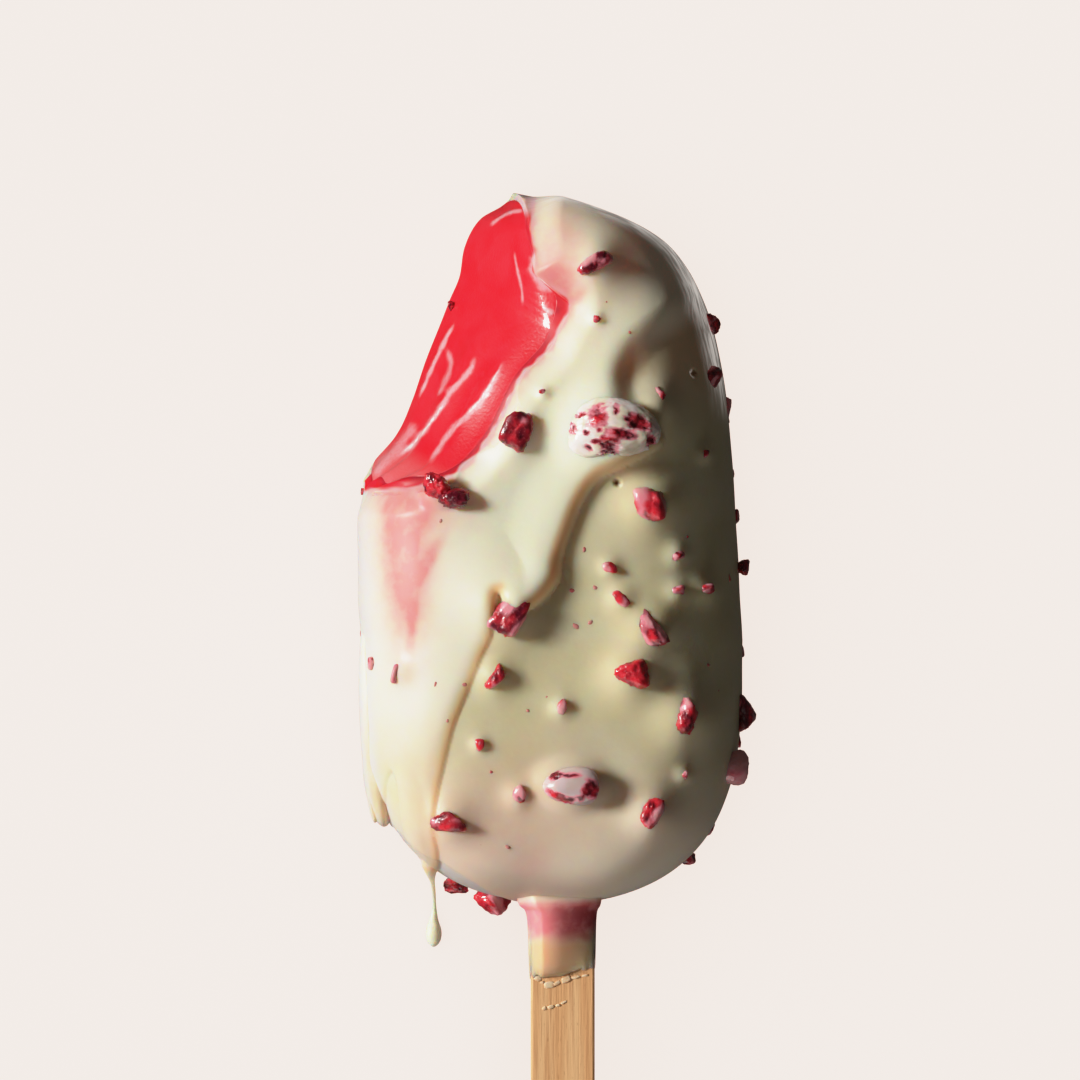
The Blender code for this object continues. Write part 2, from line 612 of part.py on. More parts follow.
def coated_skin(collection, material):
    """The outside of the coating, with its runs, its mounds and its thin edge at the bite."""
    bm = bar_mesh(SKIN_STEPS)
    place = np.array([v.co for v in bm.verts])
    normal = np.array([v.normal for v in bm.verts])
    facing = smooth_step(-0.3, 0.35, normal[:, 2])
    x, y = place[:, 0], place[:, 1]
    extra = (extra_coating(x, y) + mounds(x, y)) * facing
    moved = place + normal * extra[:, None]
    for vertex, spot in zip(bm.verts, moved):
        vertex.co = spot
    bmesh.ops.triangulate(bm, faces=bm.faces)
    share = SKIN_TRIANGLES / len(bm.faces)
    skin = object_of(bm, "coating", collection, material)
    fewer = skin.modifiers.new("Fewer faces", "DECIMATE")
    fewer.ratio = share
    apply_modifiers(skin)
    for vertex in skin.data.vertices:
        if vertex.co.z < BACK_TRUE:
            vertex.co.z = 0.0
    return skin


def sleeve_ring(below, swell, dome):
    """The points of one ring round the stick, so far below the bar."""
    angles = np.linspace(0.0, 2 * math.pi, SLEEVE_SIDES, endpoint=False)
    across = np.sign(np.cos(angles)) * np.abs(np.cos(angles)) ** SLEEVE_SQUARENESS[0]
    up = np.sign(np.sin(angles)) * np.abs(np.sin(angles)) ** SLEEVE_SQUARENESS[1]
    reach = STICK_WIDTH / 2 + swell * MM * np.where(across > 0, SLEEVE_RIGHT_SHARE, 1.0)
    past = np.clip((across - SLEEVE_PEAK) / (1.0 - SLEEVE_PEAK), 0.0, 1.0)
    rounding = smooth_step(-1.0, SLEEVE_PEAK, across) * (1.0 - past) * (1.0 + SLEEVE_BULGE * past)
    z = STICK_Z + up * (STICK_THICKNESS / 2 + swell * MM) + (up > 0) * dome * MM * rounding
    share = max(0.0, below - SLEEVE_EVEN_TO) / (SLEEVE_RINGS[-1][0] - SLEEVE_EVEN_TO)
    y = BAR_BOTTOM - below * MM + share * SLEEVE_RISE * (across + 1.0) / 2
    return np.stack([STICK_X + across * reach, y, z], axis=-1)


def make_sleeve(collection):
    """Coating that has run a little way down the stick: rings from inside the bar to the sleeve's end."""
    bm = bmesh.new()
    rings = [[bm.verts.new(spot) for spot in sleeve_ring(*ring)] for ring in SLEEVE_RINGS]
    for ring, following in zip(rings, rings[1:]):
        for index in range(SLEEVE_SIDES):
            after = (index + 1) % SLEEVE_SIDES
            bm.faces.new((ring[index], ring[after], following[after], following[index]))
    bm.faces.new(rings[0][::-1])
    bm.faces.new(rings[-1])
    bmesh.ops.recalc_face_normals(bm, faces=bm.faces)
    return object_of(bm, "sleeve", collection)


def make_drip(collection):
    """The thread of coating that runs off the lowest run, and the bead at its end."""
    curve = bpy.data.curves.new("thread", "CURVE")
    curve.dimensions = "3D"
    curve.bevel_depth = 1.0 * MM
    curve.bevel_resolution = 1
    curve.use_fill_caps = True
    spline = curve.splines.new("POLY")
    path = curve_through(THREAD, 3)
    spline.points.add(len(path) - 1)
    for point, (x, y, z, radius) in zip(spline.points, path):
        point.co = (x * MM, y * MM, z * MM, 1.0)
        point.radius = radius
    guide = bpy.data.objects.new("thread", curve)
    collection.objects.link(guide)
    graph = bpy.context.evaluated_depsgraph_get()
    mesh = bpy.data.meshes.new_from_object(guide.evaluated_get(graph))
    bpy.data.objects.remove(guide)
    bm = bmesh.new()
    bm.from_mesh(mesh)
    bmesh.ops.remove_doubles(bm, verts=bm.verts, dist=0.01 * MM)
    bmesh.ops.recalc_face_normals(bm, faces=bm.faces)
    object_of(bm, "thread", collection)
    bm = bmesh.new()
    bmesh.ops.create_uvsphere(bm, u_segments=12, v_segments=8, radius=1.0)
    for vertex in bm.verts:
        x, y, z = vertex.co
        narrow = 1.0 - BEAD_NARROWING * max(y, 0.0)
        vertex.co = (BEAD_SIZE[0] * x * narrow, BEAD_SIZE[1] * y, BEAD_SIZE[2] * max(z, -BEAD_FLAT))
    bmesh.ops.translate(bm, verts=bm.verts, vec=BEAD_PLACE)
    object_of(bm, "bead", collection)


def make_small_pieces(collection):
    """Raspberry pieces fused to the coating: those that the photo shows, and a few round the far walls."""
    for index, (x, y, length, width, turn) in enumerate(FRONT_PIECES):
        tall = PIECE_TALL * 0.5 * (length + width) * MM
        z = float(skin_height(x * MM, y * MM)[0]) + PIECE_OUT * tall
        size = (length * MM, width * MM, tall)
        lump(f"front_{index}", collection, (x * MM, y * MM, z), size, turn, seed=index)
    for index, (x, y, z, length, width, turn) in enumerate(WALL_PIECES):
        size = (length * MM, width * MM, PIECE_TALL * length * MM)
        lump(f"wall_{index}", collection, (x * MM, y * MM, z * MM), size, turn, seed=40 + index)
    random.seed(PIECE_SEED)
    first, last = SPARE_ALONG
    for index in range(SPARE_WALL_PIECES):
        along = first + (last - first) * (index + 0.5 * random.random()) / SPARE_WALL_PIECES
        bitten_side = along > 0.2
        side = -1 if index % 2 and not bitten_side else 1
        y = WIDEST_Y + along * (BAR_TOP - WIDEST_Y if along > 0 else WIDEST_Y - BAR_BOTTOM)
        x = float(centre_x(along) + side * half_width(np.array(along)))
        size = random.uniform(*SPARE_SIZE)
        middle = (x - side * 0.3 * size, y, random.uniform(*SPARE_Z))
        lump(f"spare_{index}", collection, middle, (size, 0.8 * size, 0.8 * size), 90, seed=70 + index)


def make_drip_end(collection):
    """The rounded end of the short drip at the bar's left edge."""
    middle, size, turn = DRIP_END
    lump("drip", collection, Vector(middle) * MM, Vector(size) * MM, turn, seed=3, net=3, roughness=0.05)


def make_berries(collection, pockets, material):
    """The three large raspberry pieces, and the same forms grown by the clearance to cut their pockets."""
    for index, (name, (x, y, z, length, width, tall, turn)) in enumerate(BERRY_PIECES.items()):
        middle = Vector((x, y, z + tall / 2)) * MM
        size = Vector((length, width, tall)) * MM
        grown = size + Vector((2 * GAP, 2 * GAP, 2 * GAP))
        form = {"turn": turn, "seed": 90 + index, "net": BERRY_NETS[name], "roughness": BERRY_ROUGHNESS}
        lump(name, collection, middle, size, **form).data.materials.append(material)
        as_cutter(lump(name + "_pocket", pockets, middle, grown, **form))


def remove_objects(collection):
    for obj in list(collection.objects):
        bpy.data.objects.remove(obj, do_unlink=True)


def main():
    clear_scene()
    bar = new_collection("gelato_bar")
    cutters = new_collection("cutters")
    fused = new_collection("fused")
    pockets = new_collection("pockets")

    cream = principled("white_coating", (0.83, 0.81, 0.66), 0.35)
    red = principled("raspberry_gelato", (0.85, 0.02, 0.04), 0.3)
    crimson = principled("raspberry_pieces", (0.42, 0.02, 0.06), 0.5)
    wood = principled("stick_wood", (0.72, 0.5, 0.3), 0.6)

    bite = make_bite_cutter(cutters)
    slot = make_slot_cutter(cutters)
    make_stick(bar, wood)
    make_berries(bar, pockets, crimson)

    coating = coated_skin(bar, cream)
    make_sleeve(fused)
    make_drip(fused)
    make_drip_end(fused)
    make_small_pieces(fused)
    combine(coating, fused, "UNION")
    remove_objects(fused)

    cavity = as_cutter(object_of(bar_mesh(CORE_STEPS), "cavity", cutters))
    set_back(cavity, COAT)
    gelato = object_of(bar_mesh(CORE_STEPS), "gelato", bar, red)
    set_back(gelato, COAT + GAP)

    for cutter in (bite, cavity, slot, *pockets.objects):
        combine(coating, cutter, "DIFFERENCE")
    for cutter in (bite, slot, *pockets.objects):
        combine(gelato, cutter, "DIFFERENCE")
    for obj in bar.objects:
        obj.data.shade_smooth()
        obj.data.set_sharp_from_angle(angle=math.radians(SHARP_FROM_DEGREES))


main()
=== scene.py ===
"""The looks of a bitten gelato bar on a stick: glossy white coating, red gelato and raspberry pieces.

The pieces are built from the same forms as the solids that they replace, with a finer net and with
the relief that shows up close. The bar lies on its flat back and the camera looks straight down on it.
"""

import math
import random

import bmesh
import bpy
import numpy as np
from mathutils import Matrix, Vector, noise

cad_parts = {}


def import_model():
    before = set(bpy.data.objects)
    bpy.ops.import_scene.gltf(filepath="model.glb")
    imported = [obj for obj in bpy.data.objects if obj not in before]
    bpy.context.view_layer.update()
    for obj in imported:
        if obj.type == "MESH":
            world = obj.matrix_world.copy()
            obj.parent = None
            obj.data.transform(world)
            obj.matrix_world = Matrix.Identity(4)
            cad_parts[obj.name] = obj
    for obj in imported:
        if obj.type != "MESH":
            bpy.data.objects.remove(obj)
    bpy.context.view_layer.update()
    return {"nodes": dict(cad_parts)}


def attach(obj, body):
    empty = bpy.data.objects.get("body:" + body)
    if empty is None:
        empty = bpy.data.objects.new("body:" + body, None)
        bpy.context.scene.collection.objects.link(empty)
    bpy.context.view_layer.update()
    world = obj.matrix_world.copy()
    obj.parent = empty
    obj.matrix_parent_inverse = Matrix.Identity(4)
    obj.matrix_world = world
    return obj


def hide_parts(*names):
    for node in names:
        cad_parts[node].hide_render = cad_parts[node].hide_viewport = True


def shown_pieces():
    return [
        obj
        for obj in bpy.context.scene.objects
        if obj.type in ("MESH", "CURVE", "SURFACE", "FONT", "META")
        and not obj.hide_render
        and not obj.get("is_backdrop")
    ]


MM = 0.001

# --- The bar's form, as in the part ---

BAR_TOP = 47.7 * MM
BAR_BOTTOM = -46.9 * MM
WIDEST_Y = -12 * MM
HALF_WIDTH = 25.3 * MM
MIDDLE_X = 0.3 * MM
TOP_TAPER = 0.05
TOP_LEAN = -1.8 * MM
TIP_LEAN = -1.6 * MM
TIP_LEAN_POWER = 16
TIP_SLANT = 0.2
TIP_SLANT_POWER = 12
TIP_SLANT_FROM_X = -4 * MM
TOP_POWER = 5.2
BOTTOM_POWER = 3.4
CORNER_POWER = 2.2
WALL_Z = 5 * MM
FRONT_Z = 25 * MM
SIDE_POWER = 4.6
TOP_SIDE_POWER = 3.6
TOP_SIDE_FROM = (0.45, 0.75)
TOP_END_POWER = 12.0
BOTTOM_END_POWER = 7.0
BACK_POWER = 10.0
BACK_PRESS = 1.2
BACK_FLAT_END = 1.15
COAT = 1.3 * MM
SEAM = 0.03 * MM

# Melted runs on the front.
RUN_HEIGHT = 1.6 * MM
TONGUE_HEIGHT = 0.6 * MM
RUN_LIP = 2.3 * MM
# At the upper right the runs have no sharp edge.
SOFT_LIP = 5.5 * MM
SOFT_EDGE_X = (6 * MM, 11 * MM)
SOFT_EDGE_Y = (12 * MM, 16.5 * MM)
RUN_FADE = 9 * MM
RUN_FADE_SHARE = 0.45
RUN_SIDE_X = (14 * MM, 21 * MM)
TONGUE_FROM_Y = (-12 * MM, -6 * MM)
# Where the runs stand fuller: x, y, half length, half width, turn and height, in millimetres and degrees.
RUN_SWELLS = ((-1.4, -3.6, 3.4, 2.6, 90, 0.5), (7, 17, 6, 5, 0, 0.5))
RUN_EDGE = (
    (29, 35), (22, 30.5), (17.2, 27.6), (13.6, 25), (10.6, 21.5), (13, 17.5), (14, 13.6), (9.4, 10.6),
    (6.3, 9), (4.3, 6.2), (2.9, 2.9), (1.7, -0.8), (1.2, -4), (-1.3, -6.9), (-4.2, -8), (-5.9, -6.9),
    (-6.6, -5.8), (-7.1, -7.8), (-7.5, -11), (-8.8, -13.8), (-10.5, -18), (-12.3, -22.5), (-13.5, -27.1),
    (-14.4, -31.6), (-14.6, -36), (-14.4, -39.5), (-15.1, -42.6),
)
RUN_LEFT_SIDE = (
    (-16.6, -42.6), (-18.2, -39.5), (-19.3, -35.5), (-19.8, -31), (-20.5, -28.9), (-21.3, -30.5),
    (-21.6, -33.2), (-22.4, -35.7), (-23.6, -36.3), (-24.9, -35.3),
)
RUN_BEYOND = ((-33, -30), (-36, 10), (-30, 50), (0, 60), (36, 58))

# Where the runs' edge has no painted shade: x, y, half length, half width and turn. The shade fades out
# between two shares of that zone.
LIP_SHADE_GAP = (-4.6, -5.6, 2.6, 1.5, 90)
LIP_SHADE_GAP_FADE = (0.6, 1.2)

# The first layer of coating ends in a low edge at the lower left, beyond which the thin layer shows.
LAYER_EDGE = ((-20.5, -36.5), (-14.6, -40.1), (-10.5, -42.8), (-6.9, -45.2), (-3, -46.9))
LAYER_BEYOND = ((-1, -56), (-40, -56), (-40, -33))
LAYER_DROP = 0.5 * MM
LAYER_LIP = 0.6 * MM

# The coating is softly uneven all over: this much, with waves about so long.
SKIN_UNEVEN = 0.07 * MM
SKIN_WAVE = 9 * MM

# Pinholes in the coating: x, y, radius and depth, in millimetres.
PINHOLES = ((8.6, 8.7, 0.42, 0.6), (18.7, 23, 0.42, 0.5))

# The bite.
BITE_LIP_DROP = 0.8 * MM
BITE_LIP_WIDTH = 4 * MM
BITE_LIP_FROM = -0.2
BITE_FRONT = (
    (-2, 54), (-2.2, 46), (-2.5, 42.5), (-2.1, 38.6), (-1.9, 35.4), (2.3, 32.2), (0.9, 28.3), (-0.5, 25.8),
    (-3.5, 23), (-4.8, 20.9), (-7.5, 15.3), (-11.4, 10.8), (-15.8, 8.7), (-20.6, 8), (-24.4, 7.9),
    (-34, 6.6),
)
BITE_BACK = (
    (-3, 55), (-5.2, 47.3), (-9.4, 44.2), (-11.4, 40.6), (-12.1, 36.6), (-13.4, 33.5), (-14.6, 30.4),
    (-16.6, 25.4), (-18.4, 20.1), (-20.4, 15.6), (-23.4, 12), (-25, 9.4), (-27, 7.6), (-36, 5),
)
# With the front edge, these points close an outline round all that was bitten off.
BITE_BEYOND = ((-60, 6.6), (-60, 54))
BITE_BACK_Z = 3 * MM
BITE_LEVELS = (-3 * MM, 32 * MM)
BITE_EDGE_LOWEST = 14 * MM
BITE_FLAT_SHARE = 0.35
BITE_ABOVE_SLOPE = 1.0
BITE_ABOVE_MOST = 1.5 * MM
BITE_BELOW_SLOPE = 0.1
BITE_SMOOTHING = 4.5 * MM
BITE_EDGE_SMOOTHING = 0.4 * MM
BITE_SHIFTS = 31
NOTCH_DEPTH = 0.1
BITE_TOWARD = (-0.857, 0.515)
BITE_REACH = 70 * MM
RIDGES = 3.0
RIDGE_HEIGHT = 0.4 * MM
RIDGE_START = -0.9
RIDGE_WANDER = 0.11
RIDGE_WANDER_LENGTH = 5.5 * MM
RIDGE_DRIFT = -0.12
RIDGES_FADE = (8 * MM, 26 * MM)

# Pale streaks where the coating has smeared over the bitten gelato, and a few painted highlights: width,
# strength, then the points that each runs through as seen from above, in millimetres.
STREAKS = (
    (0.75, 0.7, ((-5.1, 25.8), (-7.6, 21.5), (-9.3, 19), (-12.8, 15.6), (-15.1, 12.4), (-16.2, 10.4))),
    # A painted highlight line inside the streak above.
    (0.22, 0.6, ((-5.9, 24.8), (-7.9, 21.3), (-9.5, 19.1), (-11.4, 17.2))),
    (0.7, 0.75, ((-9.6, 26.4), (-10.5, 23.5), (-13.1, 20.7), (-15.1, 17.6), (-18.2, 13.9), (-21, 11.2))),
    # A painted highlight line inside the streak above.
    (0.22, 0.6, ((-13.6, 19.6), (-14.6, 18.2), (-16.4, 15.9), (-18.6, 13.5), (-20.4, 12.2))),
    (0.8, 0.55, ((-13.9, 27.5), (-13.1, 24.4), (-14.2, 21.5), (-15.1, 19.8))),
    (1.5, 0.55, ((-17, 17.5), (-19.4, 14.6), (-22.1, 11.4), (-23.8, 8.7))),
    (0.35, 0.6, ((-4.8, 39.6), (-4.3, 36.6), (-3.7, 33.8), (-3.6, 31))),
    # A painted highlight near the top.
    (0.55, 0.75, ((-8.3, 42.6), (-6.6, 43.9), (-4.8, 44.5), (-2.9, 44.2))),
    (0.5, 0.8, ((-12.2, 30.9), (-14.3, 27.2), (-16.3, 22.9), (-17.9, 19.2))),
    # A painted highlight: a small white dash.
    (0.7, 0.9, ((-1.3, 31.6), (-0.2, 31), (0.4, 30.3))),
    (1.1, 0.85, ((-2.3, 39), (-1.9, 36), (-0.9, 34.6), (2.6, 33.2))),
)
STREAK_RELIEF = 0.16 * MM
STREAK_SPREAD = 0.65
STREAK_UNEVEN = 0.3
STREAK_WAVE = 2.2 * MM
# A streak has its full strength between these places along it.
STREAK_FULL = (0.2, 0.75)

# --- Coating on the stick, the thread and the bead ---

STICK_X = 1.65 * MM
STICK_Z = 13 * MM
STICK_WIDTH = 8.4 * MM
STICK_THICKNESS = 2 * MM
STICK_LENGTH = 113 * MM
STICK_OUT = 50 * MM
SLOT_OUT = 12 * MM
# Coating has run down the stick: how far below the bar each ring lies, how far it stands out all round,
# and how high it is domed in front, in millimetres.
SLEEVE_RINGS = (
    (-4, 2.4, 0.5), (-0.6, 1.7, 2), (0.4, 0.8, 2.5), (1.6, 0.5, 2.6), (3, 0.4, 2.6), (4.4, 0.35, 2.5),
    (6.2, 0.3, 2.2), (7.8, 0.24, 1.7), (8.8, 0.2, 0.9), (9.3, 0.12, 0.05),
)
SLEEVE_SIDES = 120
SLEEVE_SQUARENESS = 0.2
SLEEVE_RIGHT_SHARE = 0.5
# The dome is highest this far across the stick, from -1 at its left side to 1 at its right.
SLEEVE_PEAK = -0.55
SLEEVE_BULGE = 0.4
# The sleeve's lower end is higher at the right, and ragged.
SLEEVE_RISE = 1.3 * MM
SLEEVE_RAGGED = 0.3 * MM
SLEEVE_WAVE = 1.7 * MM
SLEEVE_DEEP = 4 * MM
SLEEVE_EVEN_TO = 4.4
# Flakes of coating on the stick below the film: x, y, length, width and turn, in millimetres and degrees.
FLAKES = (
    (-0.1, -57.1, 1.5, 0.9, 10), (0.9, -56.9, 1, 0.5, 25), (2.1, -56.4, 1.4, 0.8, 25),
    (3.3, -56.1, 1.3, 0.4, 12), (4.6, -55.9, 0.9, 0.35, 10), (-1.6, -56.3, 1, 0.8, -30),
    (-1.1, -56.8, 0.5, 0.4, 0), (-0.8, -60.2, 0.7, 0.5, 30), (0.1, -60, 0.9, 0.5, 20),
    (1, -59.8, 0.6, 0.3, 15), (1.8, -59.4, 0.9, 0.3, 20),
)
# x, y, z and radius of the thread and its bead, in millimetres.
THREAD = (
    (-15.7, -38.4, 14.2, 1.6), (-15.7, -41, 13.4, 1.3), (-15.7, -42.5, 11.8, 0.7),
    (-15.6, -43.8, 9.2, 0.34), (-15.5, -45.6, 5, 0.25), (-15.5, -47.8, 1.6, 0.27), (-15.6, -49.6, 1, 0.62),
    (-15.6, -51.1, 1.1, 1.05), (-15.6, -52.3, 1.05, 0.95), (-15.6, -53, 0.95, 0.5),
    (-15.6, -53.15, 0.9, 0.1),
)
THREAD_SIDES = 24
# A drip on the left wall: the middle and size of its thick end and of its tail, and their turn.
DRIP_PARTS = (((-22.7, -30.4, 11), (3.8, 12.4, 9), 8), ((-23.75, -23, 11.8), (2.7, 26, 7), 3))

# --- Raspberry pieces ---

# x, y, length, width and turn of those on the front, in millimetres and degrees, then the share of
# each that coating has run over and how bright its red is.
FRONT_PIECES = (
    (-4.2, 15.5, 5.2, 4.2, 60, 0.15, 0.35), (5.8, 36.9, 4.6, 2.9, 50, 0.45, 0.4),
    (12.9, 6.1, 5, 4.2, 100, 0.35, 0.7), (-5.2, -8.3, 6, 4.2, 55, 0.35, 0.15),
    (-7, -16.3, 3.7, 2.2, 70, 0.1, 0.8), (10.5, -16.1, 4.6, 4, 10, 0.05, 1),
    (13, -9.9, 5.6, 3, 115, 0.3, 0.35), (17.4, -21.6, 5, 3.9, 125, 0.25, 0.5),
    (13, -33.9, 4.2, 3.3, 80, 0.15, 0.8), (-13.3, -35, 4.6, 3.3, 10, 0.2, 0.55),
    (-9.1, -25.1, 1.7, 1.2, 90, 0.1, 0.95), (-4, -31.6, 2.8, 1.8, 100, 0.6, 0.5),
    (7.7, -2.2, 2, 1.5, 0, 0.3, 0.8), (9.2, -6.2, 2.9, 1.7, -35, 0.35, 0.7),
    (16.4, -0.6, 2, 1.6, 0, 0.5, 0.5), (16.4, -5.4, 2.2, 1.6, 10, 0.5, 0.5),
    (19.9, -5.2, 2.9, 1.7, 10, 0.4, 0.4), (13.7, 19.4, 4, 2.8, -50, 0.3, 0.5),
    (20, 12.5, 1.6, 1.2, 40, 0.1, 0.5), (-19.9, -15.9, 3, 1.3, 75, 0.55, 0.85),
    (6, 29.8, 1.1, 1.1, 0, 0.2, 0.7), (1.5, -20.3, 2.4, 1.3, 80, 0.75, 0.7),
    (-0.9, 20.3, 1.3, 1, 0, 0.3, 0.8), (17.3, -29.1, 1.5, 1.1, 100, 0.5, 0.6),
)
# x, y, z, length, width and turn of those on the walls, then the covered share and the brightness.
WALL_PIECES = (
    (24, -28.6, 13.5, 4.8, 4.4, 90, 1, 0.7), (25.6, -21.4, 10.5, 5, 3.2, 100, 0.1, 0.3),
    (21.3, 29.6, 11, 3.2, 2.4, 80, 0.1, 0.4), (20.9, 22.7, 16.5, 3.4, 2.9, 60, 0.45, 0.4),
    (23, 18.1, 8, 4.5, 1.8, 82, 0.4, 0.2), (25.5, -2.2, 10, 2.2, 1.8, 80, 0.1, 0.4),
    (24.6, 4.4, 7.5, 2.2, 1.2, 90, 0.2, 0.3), (18.2, -40.9, 7, 2.4, 1.9, 0, 0.1, 0.4),
    (-12.5, -44.6, 6.6, 3.4, 2.2, 0, 0, 0.6), (-7.7, -46.5, 6.8, 5, 3.6, -22, 0.2, 0.7),
    (-24.7, -10.9, 9, 1.8, 1, 90, 0.8, 0.8), (-23.4, -14.8, 17, 1.8, 1, 90, 0.7, 0.3),
)
SPARE_WALL_PIECES = 9
SPARE_SIZE = (1.6 * MM, 2.6 * MM)
SPARE_Z = (4 * MM, 9 * MM)
SPARE_ALONG = (-0.75, 0.85)
SPARE_COVERED = 0.3
SPARE_BRIGHT = 0.5
# How far a spare piece is sunk in the wall and how wide it is, as shares of its length.
SPARE_SUNK = 0.3
SPARE_WIDE = 0.8
PIECE_SEED = 11
FIRST_SEEDS = {"wall": 40, "spare": 70, "berry": 90, "edge": 150, "flake": 200, "speck": 300}
PIECE_TALL = 0.85
PIECE_OUT = 0.2
MOUND_HEIGHT = 0.38
MOUND_REACH = 0.8
BERRY_MOUND_REACH = 0.66
# x, y, z of the base, length, width, height and turn of each lump, then the covered share and the
# brightness.
BERRY_PIECES = {
    "raspberry_large": ((8.3, 15.4, 24.7, 11.9, 8.4, 5.4, -8, 0.62, 0.3),),
    "raspberry_low": ((2.7, -30.2, 24.3, 7.3, 5, 3.8, -6, 0.6, 0.1),),
    "raspberry_at_bite": (
        (-14.6, 8.3, 23.9, 3.7, 3.7, 3.8, 0, 0, 0.8), (-12.4, 6.8, 24.4, 4.3, 3.1, 3.3, 24, 0, 0.15),
    ),
}
# Where coating leaves those bare: x, y, half length, half width and turn, as seen from above.
BERRY_BARE = {
    "raspberry_large": (
        (6.2, 17.2, 1.5, 1.3, 60), (10.9, 16.5, 1.8, 0.9, -25), (9.2, 15, 2, 0.7, -10),
        (7.8, 13.4, 1.4, 1.3, 0), (13.1, 14, 1.3, 0.6, -72), (8.5, 17.9, 0.7, 0.5, 90),
        (2.9, 15.6, 1, 0.5, 90), (4, 17.3, 0.8, 0.35, 20), (4.6, 15, 0.4, 0.35, 0),
        (5.9, 13.9, 0.6, 0.3, 0), (4.9, 13.1, 0.5, 0.3, -40), (6.3, 15.4, 0.45, 0.3, 30),
    ),
    "raspberry_low": (
        (0.3, -28.8, 1.1, 0.5, 0), (0.9, -31.5, 1.3, 0.5, -25), (2.3, -32.2, 1.1, 0.45, 15),
        (5.1, -30.6, 1.2, 1.6, 20), (3.9, -31.9, 0.6, 0.5, 0), (2.9, -28.9, 1.2, 0.4, 0),
    ),
    "raspberry_at_bite": (),
}
# Each piece is a ball cut by random flat faces, their corners rounded, with a crumbly surface where
# it is bare and a smooth, slightly thicker one where coating covers it.
CHUNK_FACES = 9
CHUNK_FACE_FROM = (0.7, 1.15)
CHUNK_SIDES_FROM = 1.25
CHUNK_POWER = 6.0
BERRY_POWER = 2.6
SMALL_CELLS = 5.0
BERRY_CELLS = 6.0
BARE_RELIEF = 0.125
FILM_SMOOTHS = 0.8
COVER_THICKNESS = 0.05
# The bare surface's crumbs: the level at which they start, then how strong the finer and the broader
# unevenness are that are added to them.
CRUMB_LEVEL = 0.45
CRUMBS_FINE = 0.5
CRUMBS_BROAD = 0.8
CRUMBS_BROAD_SCALE = 3.2
# How much the red varies over a piece, and with its crumbs.
TINT_VARIES = 1.2
TINT_OF_CRUMBS = 0.35
# Bare zones have ragged edges, and other pieces are covered in patches. Both are layers of noise, each
# with its strength, its scale and what its seed adds.
RAGGED_LAYERS = ((1, 2, 1), (0.3, 6, 4), (0.45, 15, 6))
RAGGED = 0.7
PATCH_LAYERS = ((1, 1.1, 1), (0.12, 6, 4))
LEAST_COVERED = 0.1
COVER_SOFTNESS = 0.3
BARE_SOFTNESS = 0.5
SMALL_PIECE_FILM = 0.6
# Pieces less bright than this have a duller film.
DULL_BELOW = 0.3
# Pieces more covered than this are rounder.
ROUND_FROM = 0.7
# Specks no larger than a pinhead: x, y, length, width and turn.
SPECKS = (
    (3.6, 40.5, 0.4, 0.4, 0), (10.2, 28.1, 0.5, 0.4, 0), (16.3, 35.3, 0.6, 0.5, 20), (7.2, 32, 0.4, 0.4, 0),
    (2.9, 19.7, 0.55, 0.4, 20), (-4.3, 12.4, 0.5, 0.45, 0), (4.7, 12.2, 0.6, 0.45, -30),
    (6.6, 11.4, 0.6, 0.4, 0), (-14.1, 3.8, 0.6, 0.5, 60), (-21.2, -4.5, 0.6, 0.45, -60),
    (-23.9, -10.3, 1.1, 0.4, -75), (-23.1, -15.3, 1.2, 0.45, -70), (-14.8, -17.3, 0.7, 0.4, 80),
    (-22, -20.3, 0.45, 0.3, 80), (-11.1, -17.3, 0.7, 0.6, 0), (-0.5, -18.9, 0.5, 0.45, 0),
    (3.3, -9.8, 1, 0.75, -20), (5.2, -9.3, 0.7, 0.6, 0), (6.9, -9.2, 0.35, 0.3, 0),
    (5.8, -4.8, 0.6, 0.6, 0), (2.8, -5.2, 0.7, 0.6, 0), (4.4, 0.1, 0.7, 0.5, 80), (17.6, 1.7, 0.7, 0.5, 0),
    (16.5, -17, 0.8, 0.6, 0), (20.4, -14.9, 0.6, 0.5, 0), (21.7, -18.4, 0.7, 0.5, 40),
    (21.2, -22.2, 0.6, 0.4, 0), (23.4, -3.6, 1.1, 0.5, -70), (-7.6, -28.6, 0.45, 0.4, 0),
    (-5.5, -38.3, 0.9, 0.6, -40), (-22.1, -29.8, 0.6, 0.4, 80), (-8.1, -36.7, 0.4, 0.3, 0),
    (-2.9, -20.7, 0.4, 0.4, 0), (3.1, -21.3, 0.5, 0.4, 0), (-19.3, -9.2, 0.35, 0.3, 0),
    (-16.5, 5.8, 0.4, 0.35, 0), (-18.1, 2.6, 0.35, 0.35, 0), (-20.1, 4.4, 0.35, 0.3, 0),
    (-13.3, -22, 0.5, 0.35, 90), (-9, -38, 0.3, 0.3, 0),
)
# Bits at the bite's far edge: x, y, z, length and width.
EDGE_BITS = ((-13.2, 32.5, 5, 1.5, 0.9), (-24.9, 7.8, 6.5, 1, 0.6))
EDGE_BRIGHT = 0.4
# How tall flakes and specks are, in millimetres, and how bright.
GRAIN_TALL = 0.22
GRAIN_BRIGHT = 0.5
SPECK_SUNK = 0.02
FLAKE_LIFT = 0.04

# --- Zones of colour on the coating ---

